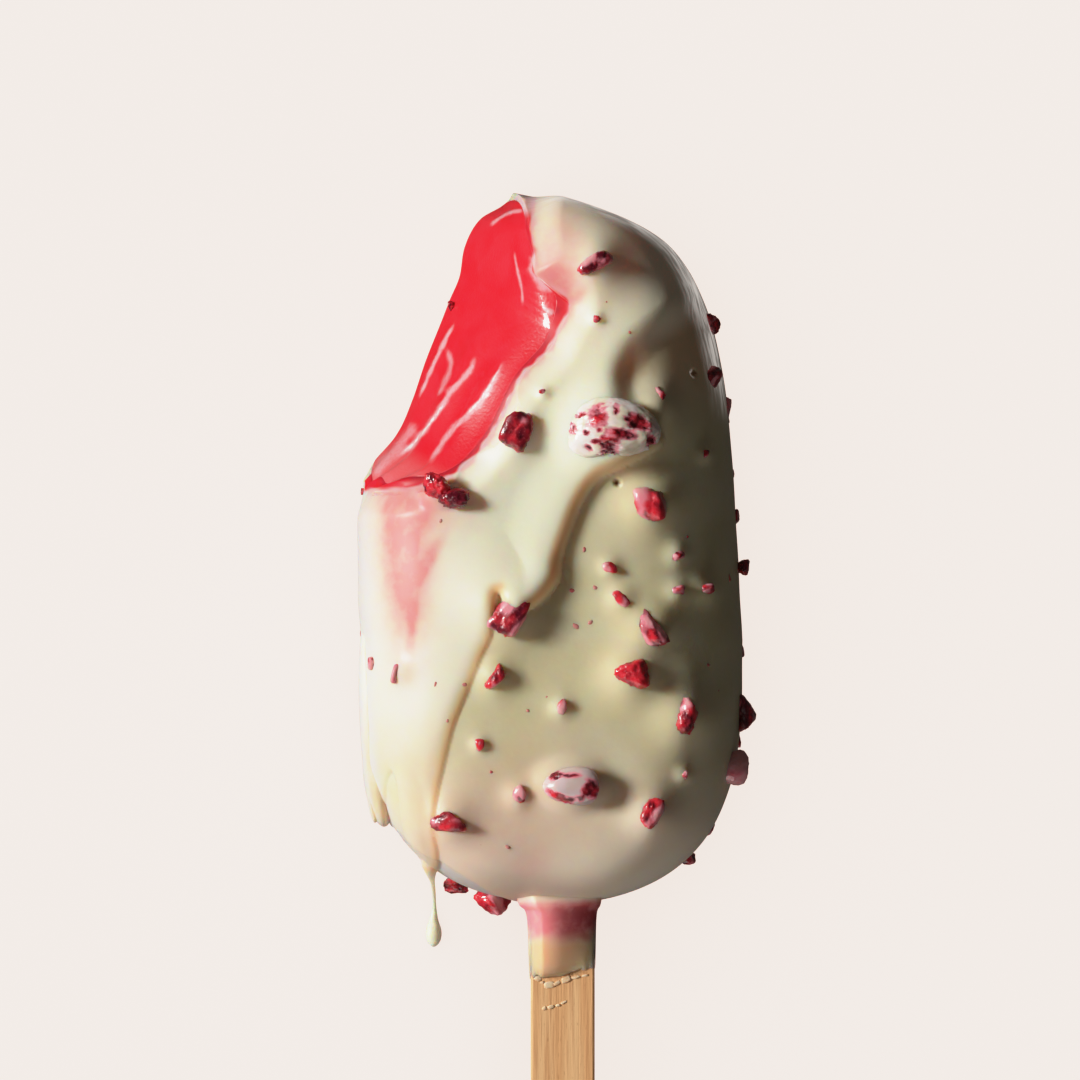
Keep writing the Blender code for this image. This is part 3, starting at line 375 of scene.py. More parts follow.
# Pink zones: x, y, radius along, radius across and turn, in millimetres and degrees, and strength.
BLUSH_ZONES = (
    (-19, 2.8, 9.5, 3.8, 90, 0.95), (-19, -5, 9, 3, 90, 0.3), (-16, -1.6, 3.6, 0.9, 58, 0.75),
    (-17.8, -8, 5.5, 0.7, 86, 0.5), (-18.3, -9.5, 8, 3.4, 90, 0.3), (1.2, 38.5, 6.5, 4, 80, 0.42),
    (0.2, 34.6, 3.4, 3, 10, 0.6), (-15.5, 5.5, 6, 2.6, 0, 0.4), (-6.5, -35, 14, 9, 30, 0.26),
    (-2.5, -40.8, 2.6, 2.4, 0, 0.2), (-6.5, 17.5, 9, 1.1, 55, 0.25), (3, 31.8, 3.5, 1, 50, 0.35),
)
BLUSH_POWER = 2.4
# The coating is pink along the bite too: how far this reaches, how strong it is and where it starts.
STAIN_REACH = 1.6 * MM
STAIN_STRENGTH = 0.4
STAIN_FROM_Z = 12 * MM
# The coating thins towards the bite within this reach, and its edge wanders to and fro.
THIN_REACH = 0.5 * MM
EDGE_WANDER = 0.25 * MM
WANDER_WAVE = 3 * MM
# Colours of the front start at this height, so that the back and the hollow stay plain.
FRONT_FROM_Z = 8 * MM
# The painted shade along the runs' edges, brown where their shadow falls and ochre where it stands for light
# glowing through the lip: how far inside the outline its middle lies, and how far it reaches from there
# inwards and outwards, in millimetres. The pairs hold for the low tongue and for the upper run.
LIP_MIDDLE = (0.5, 1.3)
LIP_INWARD = 0.48
LIP_OUTWARD = (0.55, 1.45)
# How far from the stick's and the thread's middle line the coating counts as theirs.
STICK_REACH = 6.2 * MM
THREAD_REACH = 1.8 * MM
# The left wall's painted light stays this far away from the thread's middle line.
THREAD_CLEAR = 1.2 * MM
# How strongly painted light lies on the left wall.
LIT_WALL_STRENGTH = 0.8
# The left wall gets painted light, a pale lilac, between these shares of the way to the bar's side. It gets
# it, and the top's wall a painted rim reflection, as far as the upward part of its normal falls from the
# second value to the first.
WALL_ACROSS = (0.88, 0.98)
WALL_UP = (0.3, 0.7)
# The top's steep wall gets a painted rim reflection, a grey streaky colour with a glow, as far as the upward
# part of its normal falls from the second value to the first.
RIM_REFLECTION_UP = (0.15, 0.55)

# --- How finely each form is divided ---

CURVE_STEPS = 8
SECTION_POINTS = 8001
RIPPLE_WAVES = 7
RIPPLE_LENGTHS = (0.7, 1.6)
SKIN_STEPS = ((520, 560))
SKIN_TRIANGLES = 165_000
CORE_STEPS = (160, 180)
GELATO_STEPS = (200, 220)
# Steps across the bite, then down it: above its front edge, down its face and below its back edge.
BITE_STEPS = 260
BITE_DOWN_STEPS = (24, 130, 8)
# Raspberry pieces are cut from balls, divided so many times. Pieces longer than so many millimetres
# have a finer one.
BALL_NETS = ((2, 3, 4, 5, 6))
SPECK_NET = 2
SMALL_NET = 3
LARGE_NET = 4
LARGE_FROM = 3.0
BERRY_NET = 5
LARGE_BERRY_FROM = 10.0


def smooth_step(low, high, value):
    share = np.clip((value - low) / (high - low), 0.0, 1.0)
    return share * share * (3.0 - 2.0 * share)


def rises(value, low, high):
    """0 up to the low place and 1 from the high one on, with both given in millimetres."""
    return smooth_step(low * MM, high * MM, value)


def falls(value, low, high):
    return 1.0 - rises(value, low, high)


def between(ends, share):
    first, last = ends
    return first + (last - first) * share


def curve_through(points, steps, closed=False):
    """A Catmull-Rom curve through the points, as steps points for each stretch."""
    points = np.array(points, float)
    if closed:
        padded = np.vstack([points[-1], points, points[0], points[1]])
    else:
        padded = np.vstack([2 * points[0] - points[1], points, 2 * points[-1] - points[-2]])
    t = (np.arange(steps) / steps)[:, None]
    rows = []
    for a, b, c, d in zip(padded, padded[1:], padded[2:], padded[3:]):
        bend = (2 * a - 5 * b + 4 * c - d) * t**2
        twist = (3 * b - a - 3 * c + d) * t**3
        rows.append(0.5 * (2 * b + (c - a) * t + bend + twist))
    if not closed:
        rows.append(points[-1:])
    return np.vstack(rows)


def distance_to_line(x, y, line):
    """The distance from each point to an open line, and how far along the line it is, from 0 to 1."""
    best = np.full(len(x), 1e9)
    place = np.zeros(len(x))
    last = len(line) - 1
    for index, (a, b) in enumerate(zip(line, line[1:])):
        step = b - a
        t = np.clip(((x - a[0]) * step[0] + (y - a[1]) * step[1]) / (step**2).sum(), 0.0, 1.0)
        far = np.hypot(x - a[0] - t * step[0], y - a[1] - t * step[1])
        nearer = far < best
        best = np.where(nearer, far, best)
        place = np.where(nearer, (index + t) / last, place)
    return best, place


def distance_inside(x, y, outline):
    """How far each point lies inside a closed outline, in metres; negative outside."""
    near, _ = distance_to_line(x, y, np.vstack([outline, outline[:1]]))
    inside = np.zeros(len(x), bool)
    for start, end in zip(outline, np.roll(outline, -1, axis=0)):
        if start[1] != end[1]:
            crossing = start[0] + (y - start[1]) / (end[1] - start[1]) * (end[0] - start[0])
            inside ^= ((start[1] > y) != (end[1] > y)) & (x < crossing)
    return np.where(inside, near, -near)


def ripple(x, y, length, seed):
    """Soft unevenness between -1 and 1, with waves about so long."""
    draw = random.Random(seed)
    total = np.zeros(len(x))
    for _ in range(RIPPLE_WAVES):
        angle = draw.uniform(0, math.pi)
        wave = 2 * math.pi / (length * draw.uniform(*RIPPLE_LENGTHS))
        total += np.sin((x * math.cos(angle) + y * math.sin(angle)) * wave + draw.uniform(0, 2 * math.pi))
    return total / math.sqrt(2 * RIPPLE_WAVES)


def zone_distance(x, y, zone):
    """The distance from an oval zone's middle to each point, where 1 is the zone's outline."""
    middle_x, middle_y, length, width, turn = zone
    angle = math.radians(turn)
    right, over = x - middle_x * MM, y - middle_y * MM
    along = (right * math.cos(angle) + over * math.sin(angle)) / (length * MM)
    across = (over * math.cos(angle) - right * math.sin(angle)) / (width * MM)
    return np.hypot(along, across)


# --- The bar's form ---


def along_of(y):
    up = (y - WIDEST_Y) / (BAR_TOP - WIDEST_Y)
    down = (y - WIDEST_Y) / (WIDEST_Y - BAR_BOTTOM)
    return np.clip(np.where(y > WIDEST_Y, up, down), -1.0, 1.0)


def place_along(along):
    return WIDEST_Y + along * np.where(along > 0, BAR_TOP - WIDEST_Y, WIDEST_Y - BAR_BOTTOM)


def rounded(share, power):
    """From 1 in the middle to 0 at the outline, falling late where the power is high."""
    return (1.0 - np.clip(share, 0.0, 1.0) ** power) ** (1 / CORNER_POWER)


def half_width(along):
    top = (1.0 - TOP_TAPER * np.clip(along, 0.0, 1.0)) * rounded(along, TOP_POWER)
    return HALF_WIDTH * np.where(along > 0, top, rounded(-along, BOTTOM_POWER))


def centre_x(along):
    up = np.clip(along, 0.0, 1.0)
    return MIDDLE_X + TOP_LEAN * up + TIP_LEAN * up**TIP_LEAN_POWER


def end_rounding(along):
    return np.where(along > 0, rounded(along, TOP_END_POWER), rounded(-along, BOTTOM_END_POWER))


def across_share(x, y):
    """How far a point is from the bar's middle line, as a share of the half width there."""
    along = along_of(y)
    return (x - centre_x(along)) / np.maximum(half_width(along), 1e-6)


def front_dome(across, along):
    """The front's height across the bar as a share of its middle's, rounder towards the bar's top."""
    power = SIDE_POWER + (TOP_SIDE_POWER - SIDE_POWER) * smooth_step(*TOP_SIDE_FROM, along)
    return rounded(np.abs(across), power)


def front_height(x, y):
    dome = front_dome(across_share(x, y), along_of(y))
    return WALL_Z + (FRONT_Z - WALL_Z) * dome * end_rounding(along_of(y))


def section_table():
    angle = np.linspace(0.0, 2 * math.pi, SECTION_POINTS)
    cosine, sine = np.cos(angle), np.sin(angle)
    front = sine >= 0
    across_power = np.where(front, 2 / SIDE_POWER, 2 / BACK_POWER)
    up_power = np.where(front, 2 / CORNER_POWER, 1.0)
    across = np.sign(cosine) * np.abs(cosine) ** across_power
    up = np.sign(sine) * np.abs(sine) ** up_power
    rise = np.where(up > 0, FRONT_Z - WALL_Z, WALL_Z)
    length = np.hypot(np.diff(across * HALF_WIDTH), np.diff(up * rise))
    place = np.concatenate([[0.0], np.cumsum(length)])
    return place / place[-1], across, up


def bar_rings(steps):
    """The bar's skin as rings round it, from its bottom to its top."""
    section_steps, length_steps = steps
    along = -np.cos(math.pi * np.arange(1, length_steps) / length_steps)[:, None]
    share = (np.arange(section_steps) / section_steps)[None, :]
    place, across_table, up_table = section_table()
    across = np.interp(share, place, across_table)
    up = np.interp(share, place, up_table)
    x = centre_x(along) + half_width(along) * across
    y = place_along(along) + 0.0 * x
    y -= TIP_SLANT * (x - TIP_SLANT_FROM_X) * np.clip(along, 0.0, 1.0) ** TIP_SLANT_POWER
    front = WALL_Z + (FRONT_Z - WALL_Z) * front_dome(across, along) * end_rounding(along)
    back = WALL_Z * (1.0 + BACK_PRESS * up * np.minimum(1.0, end_rounding(along) * BACK_FLAT_END))
    z = np.where(up > 0, front, np.maximum(back, 0.0))
    return np.stack([x, y, z], axis=-1)


def run_outline():
    return curve_through(RUN_EDGE + RUN_LEFT_SIDE + RUN_BEYOND, CURVE_STEPS, closed=True) * MM


def run_thickness(x, y):
    inside = distance_inside(x, y, run_outline())
    share = np.clip(inside / RUN_LIP, 0.0, 1.0)
    edge = np.sqrt(np.clip(1.0 - (1.0 - share) ** 2, 0.0, 1.0))
    soft = smooth_step(*SOFT_EDGE_X, x) * smooth_step(*SOFT_EDGE_Y, y)
    edge += soft * (smooth_step(0.0, SOFT_LIP, inside) - edge)
    fade = 1.0 - RUN_FADE_SHARE * smooth_step(RUN_LIP, RUN_FADE, inside)
    height = TONGUE_HEIGHT + (RUN_HEIGHT - TONGUE_HEIGHT) * smooth_step(*TONGUE_FROM_Y, y)
    side = 1.0 - smooth_step(*RUN_SIDE_X, x)
    swell = sum(tall * MM * np.exp(-(zone_distance(x, y, zone) ** 2)) for *zone, tall in RUN_SWELLS)
    return (height * fade + swell) * edge * side


def layer_outline():
    edge = curve_through(LAYER_EDGE, CURVE_STEPS)
    return np.vstack([edge, LAYER_BEYOND]) * MM


def turned_to_bite(x, y):
    across = -BITE_TOWARD[0] * y + BITE_TOWARD[1] * x
    along = BITE_TOWARD[0] * x + BITE_TOWARD[1] * y
    return across, along


def turned_from_bite(across, along):
    x = BITE_TOWARD[1] * across + BITE_TOWARD[0] * along
    y = -BITE_TOWARD[0] * across + BITE_TOWARD[1] * along
    return x, y


def bite_curve(points):
    smooth = curve_through(points, 2 * CURVE_STEPS) * MM
    across, along = turned_to_bite(smooth[:, 0], smooth[:, 1])
    order = np.argsort(across)
    return across[order], along[order]


def bite_average(across, points, reach):
    """One of the bite's curves, averaged over a length each way."""
    curve = bite_curve(points)
    shifts = np.linspace(-reach, reach, BITE_SHIFTS)
    return sum(np.interp(across + shift, *curve) for shift in shifts) / BITE_SHIFTS


def bite_top(across):
    """The height of the bite's front edge at each place across it."""
    edge = bite_average(across, BITE_FRONT, BITE_EDGE_SMOOTHING)
    return np.maximum(front_height(*turned_from_bite(across, edge)) - BITE_LIP_DROP, BITE_EDGE_LOWEST)


def bite_surface(across, z):
    """How far along the bite's direction the bitten surface lies, at each place across it and height."""
    edge = bite_average(across, BITE_FRONT, BITE_EDGE_SMOOTHING)
    near = bite_average(across, BITE_FRONT, BITE_SMOOTHING)
    far = bite_average(across, BITE_BACK, BITE_EDGE_SMOOTHING)
    top = bite_top(across)
    fall = np.clip((top - z) / (top - BITE_BACK_Z), 0.0, 1.0)
    bend = 1.0 - BITE_FLAT_SHARE
    depth = (np.sqrt(BITE_FLAT_SHARE**2 + 4 * bend * fall) - BITE_FLAT_SHARE) / (2 * bend)
    place = near + (far - near) * depth + (edge - near) * np.exp(-((depth / NOTCH_DEPTH) ** 2))
    place -= BITE_ABOVE_SLOPE * np.clip(z - top, 0.0, BITE_ABOVE_MOST)
    place -= BITE_BELOW_SLOPE * np.maximum(BITE_BACK_Z - z, 0.0)
    ridged = 1.0 - smooth_step(*RIDGES_FADE, across)
    wander = RIDGE_WANDER * np.sin(across / RIDGE_WANDER_LENGTH) + RIDGE_DRIFT * ridged
    wave = np.cos(2 * math.pi * (RIDGES * (depth - wander) + RIDGE_START))
    slope = (far - near) / (top - BITE_BACK_Z) / (BITE_FLAT_SHARE + 2 * bend * depth)
    return place + RIDGE_HEIGHT * wave * ridged * np.sin(math.pi * depth) * np.hypot(1.0, slope)


def bite_room(x, y):
    """How far a point lies from the bite's front edge, seen from above; negative where it was bitten off."""
    outline = np.vstack([curve_through(BITE_FRONT, CURVE_STEPS), BITE_BEYOND]) * MM
    return -distance_inside(x, y, outline)


def streaks(x, y):
    """How much pale coating is smeared over the gelato, and how strong the painted highlights are, at each
    point seen from above.
    """
    total = np.zeros(len(x))
    for width, strength, points in STREAKS:
        far, place = distance_to_line(x, y, curve_through(points, CURVE_STEPS) * MM)
        taper = smooth_step(0.0, STREAK_FULL[0], place) * (1.0 - smooth_step(STREAK_FULL[1], 1.0, place))
        uneven = 1.0 + STREAK_UNEVEN * ripple(x, y, STREAK_WAVE, seed=5)
        total += strength * taper * np.exp(-((far / (STREAK_SPREAD * width * MM * uneven)) ** 2))
    return np.clip(total, 0.0, 1.0)


def pinholes(x, y, spread=1.0):
    """Each pinhole's depth, in millimetres, and how far each point lies in it, from 0 to 1."""
    for hole_x, hole_y, radius, depth in PINHOLES:
        far = np.hypot(x - hole_x * MM, y - hole_y * MM) / (spread * radius * MM)
        yield depth, np.exp(-(far**4))


def extra_coating(x, y):
    thinned = 1.0 - smooth_step(BITE_LIP_FROM * BITE_LIP_WIDTH, BITE_LIP_WIDTH, bite_room(x, y))
    beyond = distance_inside(x, y, layer_outline())
    run = run_thickness(x, y)
    layer = LAYER_DROP * smooth_step(0.0, LAYER_LIP, beyond)
    pits = sum(depth * MM * share for depth, share in pinholes(x, y))
    soft = SKIN_UNEVEN * ripple(x, y, SKIN_WAVE, seed=2)
    return (run + soft) * (1 - thinned) - BITE_LIP_DROP * thinned - layer - pits


def skin_height(x, y):
    x, y = np.atleast_1d(x), np.atleast_1d(y)
    return front_height(x, y) + extra_coating(x, y)


def mounds(x, y):
    total = np.zeros(len(x))
    for piece_x, piece_y, length, width, *_ in FRONT_PIECES:
        size = 0.5 * (length + width) * MM
        far = np.hypot(x - piece_x * MM, y - piece_y * MM) / (MOUND_REACH * size)
        total += MOUND_HEIGHT * size * np.exp(-(far**2))
    for (piece_x, piece_y, _, length, width, tall, *_), *_ in BERRY_PIECES.values():
        far_x = (x - piece_x * MM) / (BERRY_MOUND_REACH * length * MM)
        far_y = (y - piece_y * MM) / (BERRY_MOUND_REACH * width * MM)
        total += MOUND_HEIGHT * tall * MM * np.exp(-(np.hypot(far_x, far_y) ** 4))
    return total


# --- Mesh helpers ---


def put_in_scene(name, data):
    obj = bpy.data.objects.new(name, data)
    bpy.context.scene.collection.objects.link(obj)
    return obj


def triangle_mesh(name, points, triangles):
    """A mesh object of triangles, turned so that a closed one faces out."""
    corners = points[triangles]
    volume = np.einsum("ij,ij->i", corners[:, 0], np.cross(corners[:, 1], corners[:, 2])).sum()
    if volume < 0:
        triangles = triangles[:, ::-1]
    mesh = bpy.data.meshes.new(name)
    mesh.from_pydata(points, [], triangles)
    return put_in_scene(name, mesh)


def ring_object(name, rings):
    """A closed object through rings of points, shut at both ends by fans."""
    rows, columns = rings.shape[:2]
    points = np.vstack([rings.reshape(-1, 3), rings[0].mean(0)[None], rings[-1].mean(0)[None]])
    index = np.arange(rows * columns).reshape(rows, columns)
    after = np.roll(index, -1, axis=1)
    a, b, c, d = index[:-1].ravel(), after[:-1].ravel(), after[1:].ravel(), index[1:].ravel()
    first = np.stack([np.full(columns, rows * columns), after[0], index[0]], axis=1)
    last = np.stack([np.full(columns, rows * columns + 1), index[-1], after[-1]], axis=1)
    triangles = np.vstack([np.stack([a, b, c], axis=1), np.stack([a, c, d], axis=1), first, last])
    return triangle_mesh(name, points, triangles)


def rows_of(items, key):
    numbers = np.empty(3 * len(items), np.float32)
    items.foreach_get(key, numbers)
    return numbers.reshape(-1, 3).astype(float)


def places_of(obj):
    return rows_of(obj.data.vertices, "co")


def normals_of(obj):
    return rows_of(obj.data.vertex_normals, "vector")


def put_places(obj, places):
    obj.data.vertices.foreach_set("co", places.astype(np.float32).ravel())
    obj.data.update()


def apply_modifiers(obj):
    graph = bpy.context.evaluated_depsgraph_get()
    mesh = bpy.data.meshes.new_from_object(obj.evaluated_get(graph))
    obj.modifiers.clear()
    obj.data = mesh


def combine(obj, other, operation):
    """A Boolean with another object, which is then removed."""
    modifier = obj.modifiers.new(operation.title(), "BOOLEAN")
    modifier.operation = operation
    modifier.solver = "MANIFOLD"
    modifier.object = other
    apply_modifiers(obj)
    bpy.data.objects.remove(other)


def fewer_triangles(obj, wanted):
    modifier = obj.modifiers.new("Fewer", "DECIMATE")
    modifier.ratio = min(1.0, wanted / len(obj.data.polygons))
    apply_modifiers(obj)


def set_back(obj, distance):
    moved = places_of(obj) - normals_of(obj) * distance
    moved[:, 2] = np.maximum(moved[:, 2], distance)
    put_places(obj, moved)


def give_values(obj, values):
    """Numbers at each point, which the material reads by their names."""
    for name, numbers in values.items():
        attribute = obj.data.attributes.new(name, "FLOAT", "POINT")
        attribute.data.foreach_set("value", np.clip(numbers, 0.0, 1.0).astype(np.float32))


def finish_piece(obj, material, slot, *replaced, sharp=180):
    obj.data.materials.clear()
    obj.data.materials.append(material)
    obj.data.shade_smooth()
    if sharp < 180:
        obj.data.set_sharp_from_angle(angle=math.radians(sharp))
    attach(obj, "root")
    if replaced:
        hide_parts(*replaced)


# --- Coating and gelato ---


def bite_levels(across):
    """The heights down the bite at each place across it, closest together just under its front edge."""
    above, face, below = BITE_DOWN_STEPS
    top = bite_top(across)
    over = top + (BITE_LEVELS[1] - top) * np.linspace(1.0, 0.0, above, endpoint=False) ** 2
    down = top + (BITE_BACK_Z - top) * np.linspace(0.0, 1.0, face) ** 2
    under = np.linspace(BITE_BACK_Z, BITE_LEVELS[0], below + 1)[1:] + 0.0 * top
    return np.concatenate([over, down, under], axis=1)


def bite_cutter(relief=0.0):
    low, high = bite_curve(BITE_FRONT)[0][[0, -1]]
    across = np.linspace(low, high, BITE_STEPS)[:, None]
    z = bite_levels(across)
    across = across + 0.0 * z
    along = bite_surface(across, z)
    x, y = turned_from_bite(across, along)
    lift = relief * streaks(x.ravel(), y.ravel()).reshape(x.shape)
    x, y = turned_from_bite(across, along + lift)
    surface = np.stack([x, y, z], axis=-1)
    swept = surface + np.array([*BITE_TOWARD, 0.0]) * BITE_REACH
    return ring_object("bite", np.concatenate([surface, swept[:, ::-1]], axis=1))


def slot_cutter():
    inner_end = BAR_BOTTOM - STICK_OUT + STICK_LENGTH + SEAM
    outer_end = BAR_BOTTOM - SLOT_OUT
    middle = (STICK_X, (inner_end + outer_end) / 2, STICK_Z)
    size = (STICK_WIDTH + 2 * SEAM, inner_end - outer_end, STICK_THICKNESS + 2 * SEAM)
    bm = bmesh.new()
    bmesh.ops.create_cube(bm, size=1.0, matrix=Matrix.Translation(middle) @ Matrix.Diagonal((*size, 1.0)))
    mesh = bpy.data.meshes.new("slot")
    bm.to_mesh(mesh)
    bm.free()
    return put_in_scene("slot", mesh)


def circle(sides):
    """The cosine and the sine of each side's angle round a circle."""
    angles = np.linspace(0.0, 2 * math.pi, sides, endpoint=False)
    return np.stack([np.cos(angles), np.sin(angles)])


def sleeve_dome(across):
    """The front of the sleeve across the stick: 0 at both sides, 1 at its peak near the left."""
    left = smooth_step(-1.0, SLEEVE_PEAK, across)
    past = np.clip((across - SLEEVE_PEAK) / (1.0 - SLEEVE_PEAK), 0.0, 1.0)
    return left * (1.0 - past) * (1.0 + SLEEVE_BULGE * past)


def sleeve_rings():
    """Rings round the stick, from inside the bar down to the sleeve's ragged lower end."""
    sides = circle(SLEEVE_SIDES)
    across, up = np.sign(sides) * np.abs(sides) ** SLEEVE_SQUARENESS
    made = []
    for below, swell, dome in curve_through(SLEEVE_RINGS, CURVE_STEPS // 2):
        left = STICK_WIDTH / 2 + swell * MM
        right = STICK_WIDTH / 2 + SLEEVE_RIGHT_SHARE * swell * MM
        x = STICK_X + across * np.where(across > 0, right, left)
        z = STICK_Z + up * (STICK_THICKNESS / 2 + 0.5 * swell * MM)
        z += np.where(up > 0, dome * MM * sleeve_dome(across), 0.0)
        share = np.clip((below - SLEEVE_EVEN_TO) / (SLEEVE_RINGS[-1][0] - SLEEVE_EVEN_TO), 0.0, 1.0)
        rise = SLEEVE_RISE * (across + 1) / 2
        rise = rise + SLEEVE_RAGGED * ripple(x, SLEEVE_DEEP * up, SLEEVE_WAVE, seed=31)
        made.append(np.stack([x, BAR_BOTTOM - below * MM + share * rise, z], axis=-1))
    return np.array(made)


def thread_rings():
    path = curve_through(THREAD, CURVE_STEPS)
    centre, radius = path[:, :3] * MM, path[:, 3] * MM
    direction = np.gradient(centre, axis=0)
    direction /= np.linalg.norm(direction, axis=1)[:, None]
    side = np.cross(direction, (0.0, 0.0, 1.0))
    side /= np.linalg.norm(side, axis=1)[:, None]
    upward = np.cross(side, direction)
    cosine, sine = circle(THREAD_SIDES)[:, :, None]
    round_part = cosine * side[:, None] + sine * upward[:, None]
    rings = centre[:, None] + radius[:, None, None] * round_part
    rings[:, :, 2] = np.maximum(rings[:, :, 2], 0.0)
    return rings


def make_coating(material):
    """The dipped coating with its runs, drips, collar and thread, open where the bite was taken."""
    skin = ring_object("coating_look", bar_rings(SKIN_STEPS))
    place, normal = places_of(skin), normals_of(skin)
    facing = smooth_step(-0.3, 0.35, normal[:, 2])
    x, y, _ = place.T
    extra = np.zeros(len(place))
    shown = facing > 0.0
    extra[shown] = extra_coating(x[shown], y[shown]) + mounds(x[shown], y[shown])
    put_places(skin, place + normal * (extra * facing)[:, None])
    fewer_triangles(skin, SKIN_TRIANGLES)
    combine(skin, ring_object("sleeve", sleeve_rings()), "UNION")
    combine(skin, ring_object("thread", thread_rings()), "UNION")
    for middle, size, turn in DRIP_PARTS:
        points, triangles = BALLS[LARGE_NET]
        drip = joined("drip", [(put_down(points, middle, size, turn), triangles, {})])
        combine(skin, drip, "UNION")
    combine(skin, bite_cutter(), "DIFFERENCE")
    cavity = ring_object("cavity", bar_rings(CORE_STEPS))
    set_back(cavity, COAT)
    combine(skin, cavity, "DIFFERENCE")
    combine(skin, slot_cutter(), "DIFFERENCE")
    give_values(skin, coating_values(skin))
    finish_piece(skin, material, "white_coating", "coating", sharp=60)


def coating_values(obj):
    """Where the coating is thin, stained, thick or pale, where light, shade and a rim reflection are painted
    on it, and where it has run onto the stick.
    """
    x, y, z = places_of(obj).T
    up = normals_of(obj)[:, 2]
    front = z > FRONT_FROM_Z
    room = bite_room(x, y)
    inside = distance_inside(x, y, run_outline())
    beyond = distance_inside(x, y, layer_outline())
    past_bar = BAR_BOTTOM - y
    by_thread = np.abs(x - THREAD[1][0] * MM)
    wander = EDGE_WANDER * ripple(x, y, WANDER_WAVE, seed=21)

    blush = np.zeros(len(x))
    for *zone, strength in BLUSH_ZONES:
        blush += strength * np.exp(-(zone_distance(x, y, zone) ** BLUSH_POWER))
    blush += STAIN_STRENGTH * np.exp(-np.clip(room, 0.0, 1.0) / STAIN_REACH) * (z > STAIN_FROM_Z)

    # Painted shade and glow along the runs' edges, reaching further on the outer side, where their shadow
    # falls.
    upper = rises(y, -9, -3)
    shoulder = MM * between(LIP_MIDDLE, upper)
    reach = MM * np.where(inside > shoulder, LIP_INWARD, between(LIP_OUTWARD, upper))
    lip_painted_shade = np.exp(-(((inside - shoulder) / reach) ** 2)) * falls(y, 12, 20) * rises(x, -17.5, -16)
    lip_painted_shade *= smooth_step(*LIP_SHADE_GAP_FADE, zone_distance(x, y, LIP_SHADE_GAP))

    # Painted light: the left wall, which faces sideways towards the key lamp, is painted pale.
    wall = smooth_step(*WALL_ACROSS, np.abs(across_share(x, y))) * (1.0 - smooth_step(*WALL_UP, up))
    # Beyond the layer's edge the thin layer shows: partly its own pale colour, partly painted light where it
    # curves under into shade.
    bared = rises(beyond, 0, 0.6) * (inside < 0)
    on_bar = (y < 9 * MM) & (past_bar < 0) & (by_thread > THREAD_CLEAR)
    steep = 1.0 - smooth_step(*RIM_REFLECTION_UP, up)

    on_stick = (np.abs(x - STICK_X) < STICK_REACH) * rises(past_bar, -1.4, -0.2) * falls(z, 16.8, 17.6)
    fading = rises(past_bar + 2 * wander, 3, 5.2)
    collar = on_stick * (1.0 - fading)
    return {
        "thin": np.exp(-np.clip(room + wander, 0.0, 1.0) / THIN_REACH) * front,
        "cut": falls(room - wander, -0.3, 0.15) * front * falls(y, 43, 45),
        "blush": blush,
        "run": rises(inside, 0, 2.5) * front,
        # Painted shade along the runs' edges.
        "lip_painted_shade": lip_painted_shade * front,
        # Partly the thin layer's own pale colour, partly painted light on the left wall.
        "thin_layer_and_lit_wall": np.maximum(wall * (x < 0) * LIT_WALL_STRENGTH, bared) * on_bar,
        # Painted rim reflection on the steep wall at the top right.
        "rim_painted_reflection": steep * rises(y, 16, 26) * rises(x, -6, 2) * rises(z, 8, 13),
        "solid": rises(x, 9, 15) * rises(y, 12, 19),
        "low": falls(y - 0.15 * x, -44, -24),
        "tongue": falls(y, -34, -16),
        "left": falls(x + 0.2 * y, -16, -3),
        # Painted light on the thread and bead: a lighter cream and a faint glow stand in for light from
        # below.
        "thread": (by_thread < THREAD_REACH) * falls(y, -43.5, -41.5),
        "collar": collar,
        # Painted shade on the collar's right side.
        "collar_painted_shade": collar * rises(x - STICK_X, -1.5, 1.5),
        "sleeve": on_stick * fading,
        "pit": sum(share for _, share in pinholes(x, y, 0.9)) * front,
    }


def make_gelato(material):
    gelato = ring_object("gelato_look", bar_rings(GELATO_STEPS))
    set_back(gelato, COAT + SEAM)
    combine(gelato, bite_cutter(STREAK_RELIEF), "DIFFERENCE")
    combine(gelato, slot_cutter(), "DIFFERENCE")
    x, y, z = places_of(gelato).T
    across, _ = turned_to_bite(x, y)
    rim = falls(z, 1, 3.4) + 0.25 * falls(across, -1, 3)
    # Smeared coating, with painted highlights where it is whitest.
    give_values(gelato, {"smear_and_highlight": streaks(x, y) * (z > 2 * MM), "rim": rim})
    finish_piece(gelato, material, "raspberry_gelato", "gelato", sharp=70)


# --- Raspberry pieces ---


def ball(net):
    bm = bmesh.new()
    bmesh.ops.create_icosphere(bm, subdivisions=net, radius=0.5)
    points = np.array([v.co for v in bm.verts])
    triangles = np.array([[v.index for v in face.verts] for face in bm.faces])
    bm.free()
    return points, triangles


BALLS = {net: ball(net) for net in BALL_NETS}


def noise_at(points, scale, seed):
    shift = Vector((seed * 3.7, seed * 1.3, seed * 2.1))
    return np.array([noise.noise(Vector(point) * scale + shift) for point in points])


def layered_noise(points, seed, layers):
    return sum(strength * noise_at(points, scale, seed + step) for strength, scale, step in layers)


def cells_at(points, scale, seed):
    """How far each point is from the middle of its cell, where the cells are about 1 / scale wide."""
    shift = Vector((seed * 2.3, seed * 4.1, seed * 1.7))
    return np.array([noise.voronoi(Vector(point) * scale + shift)[0][0] for point in points])


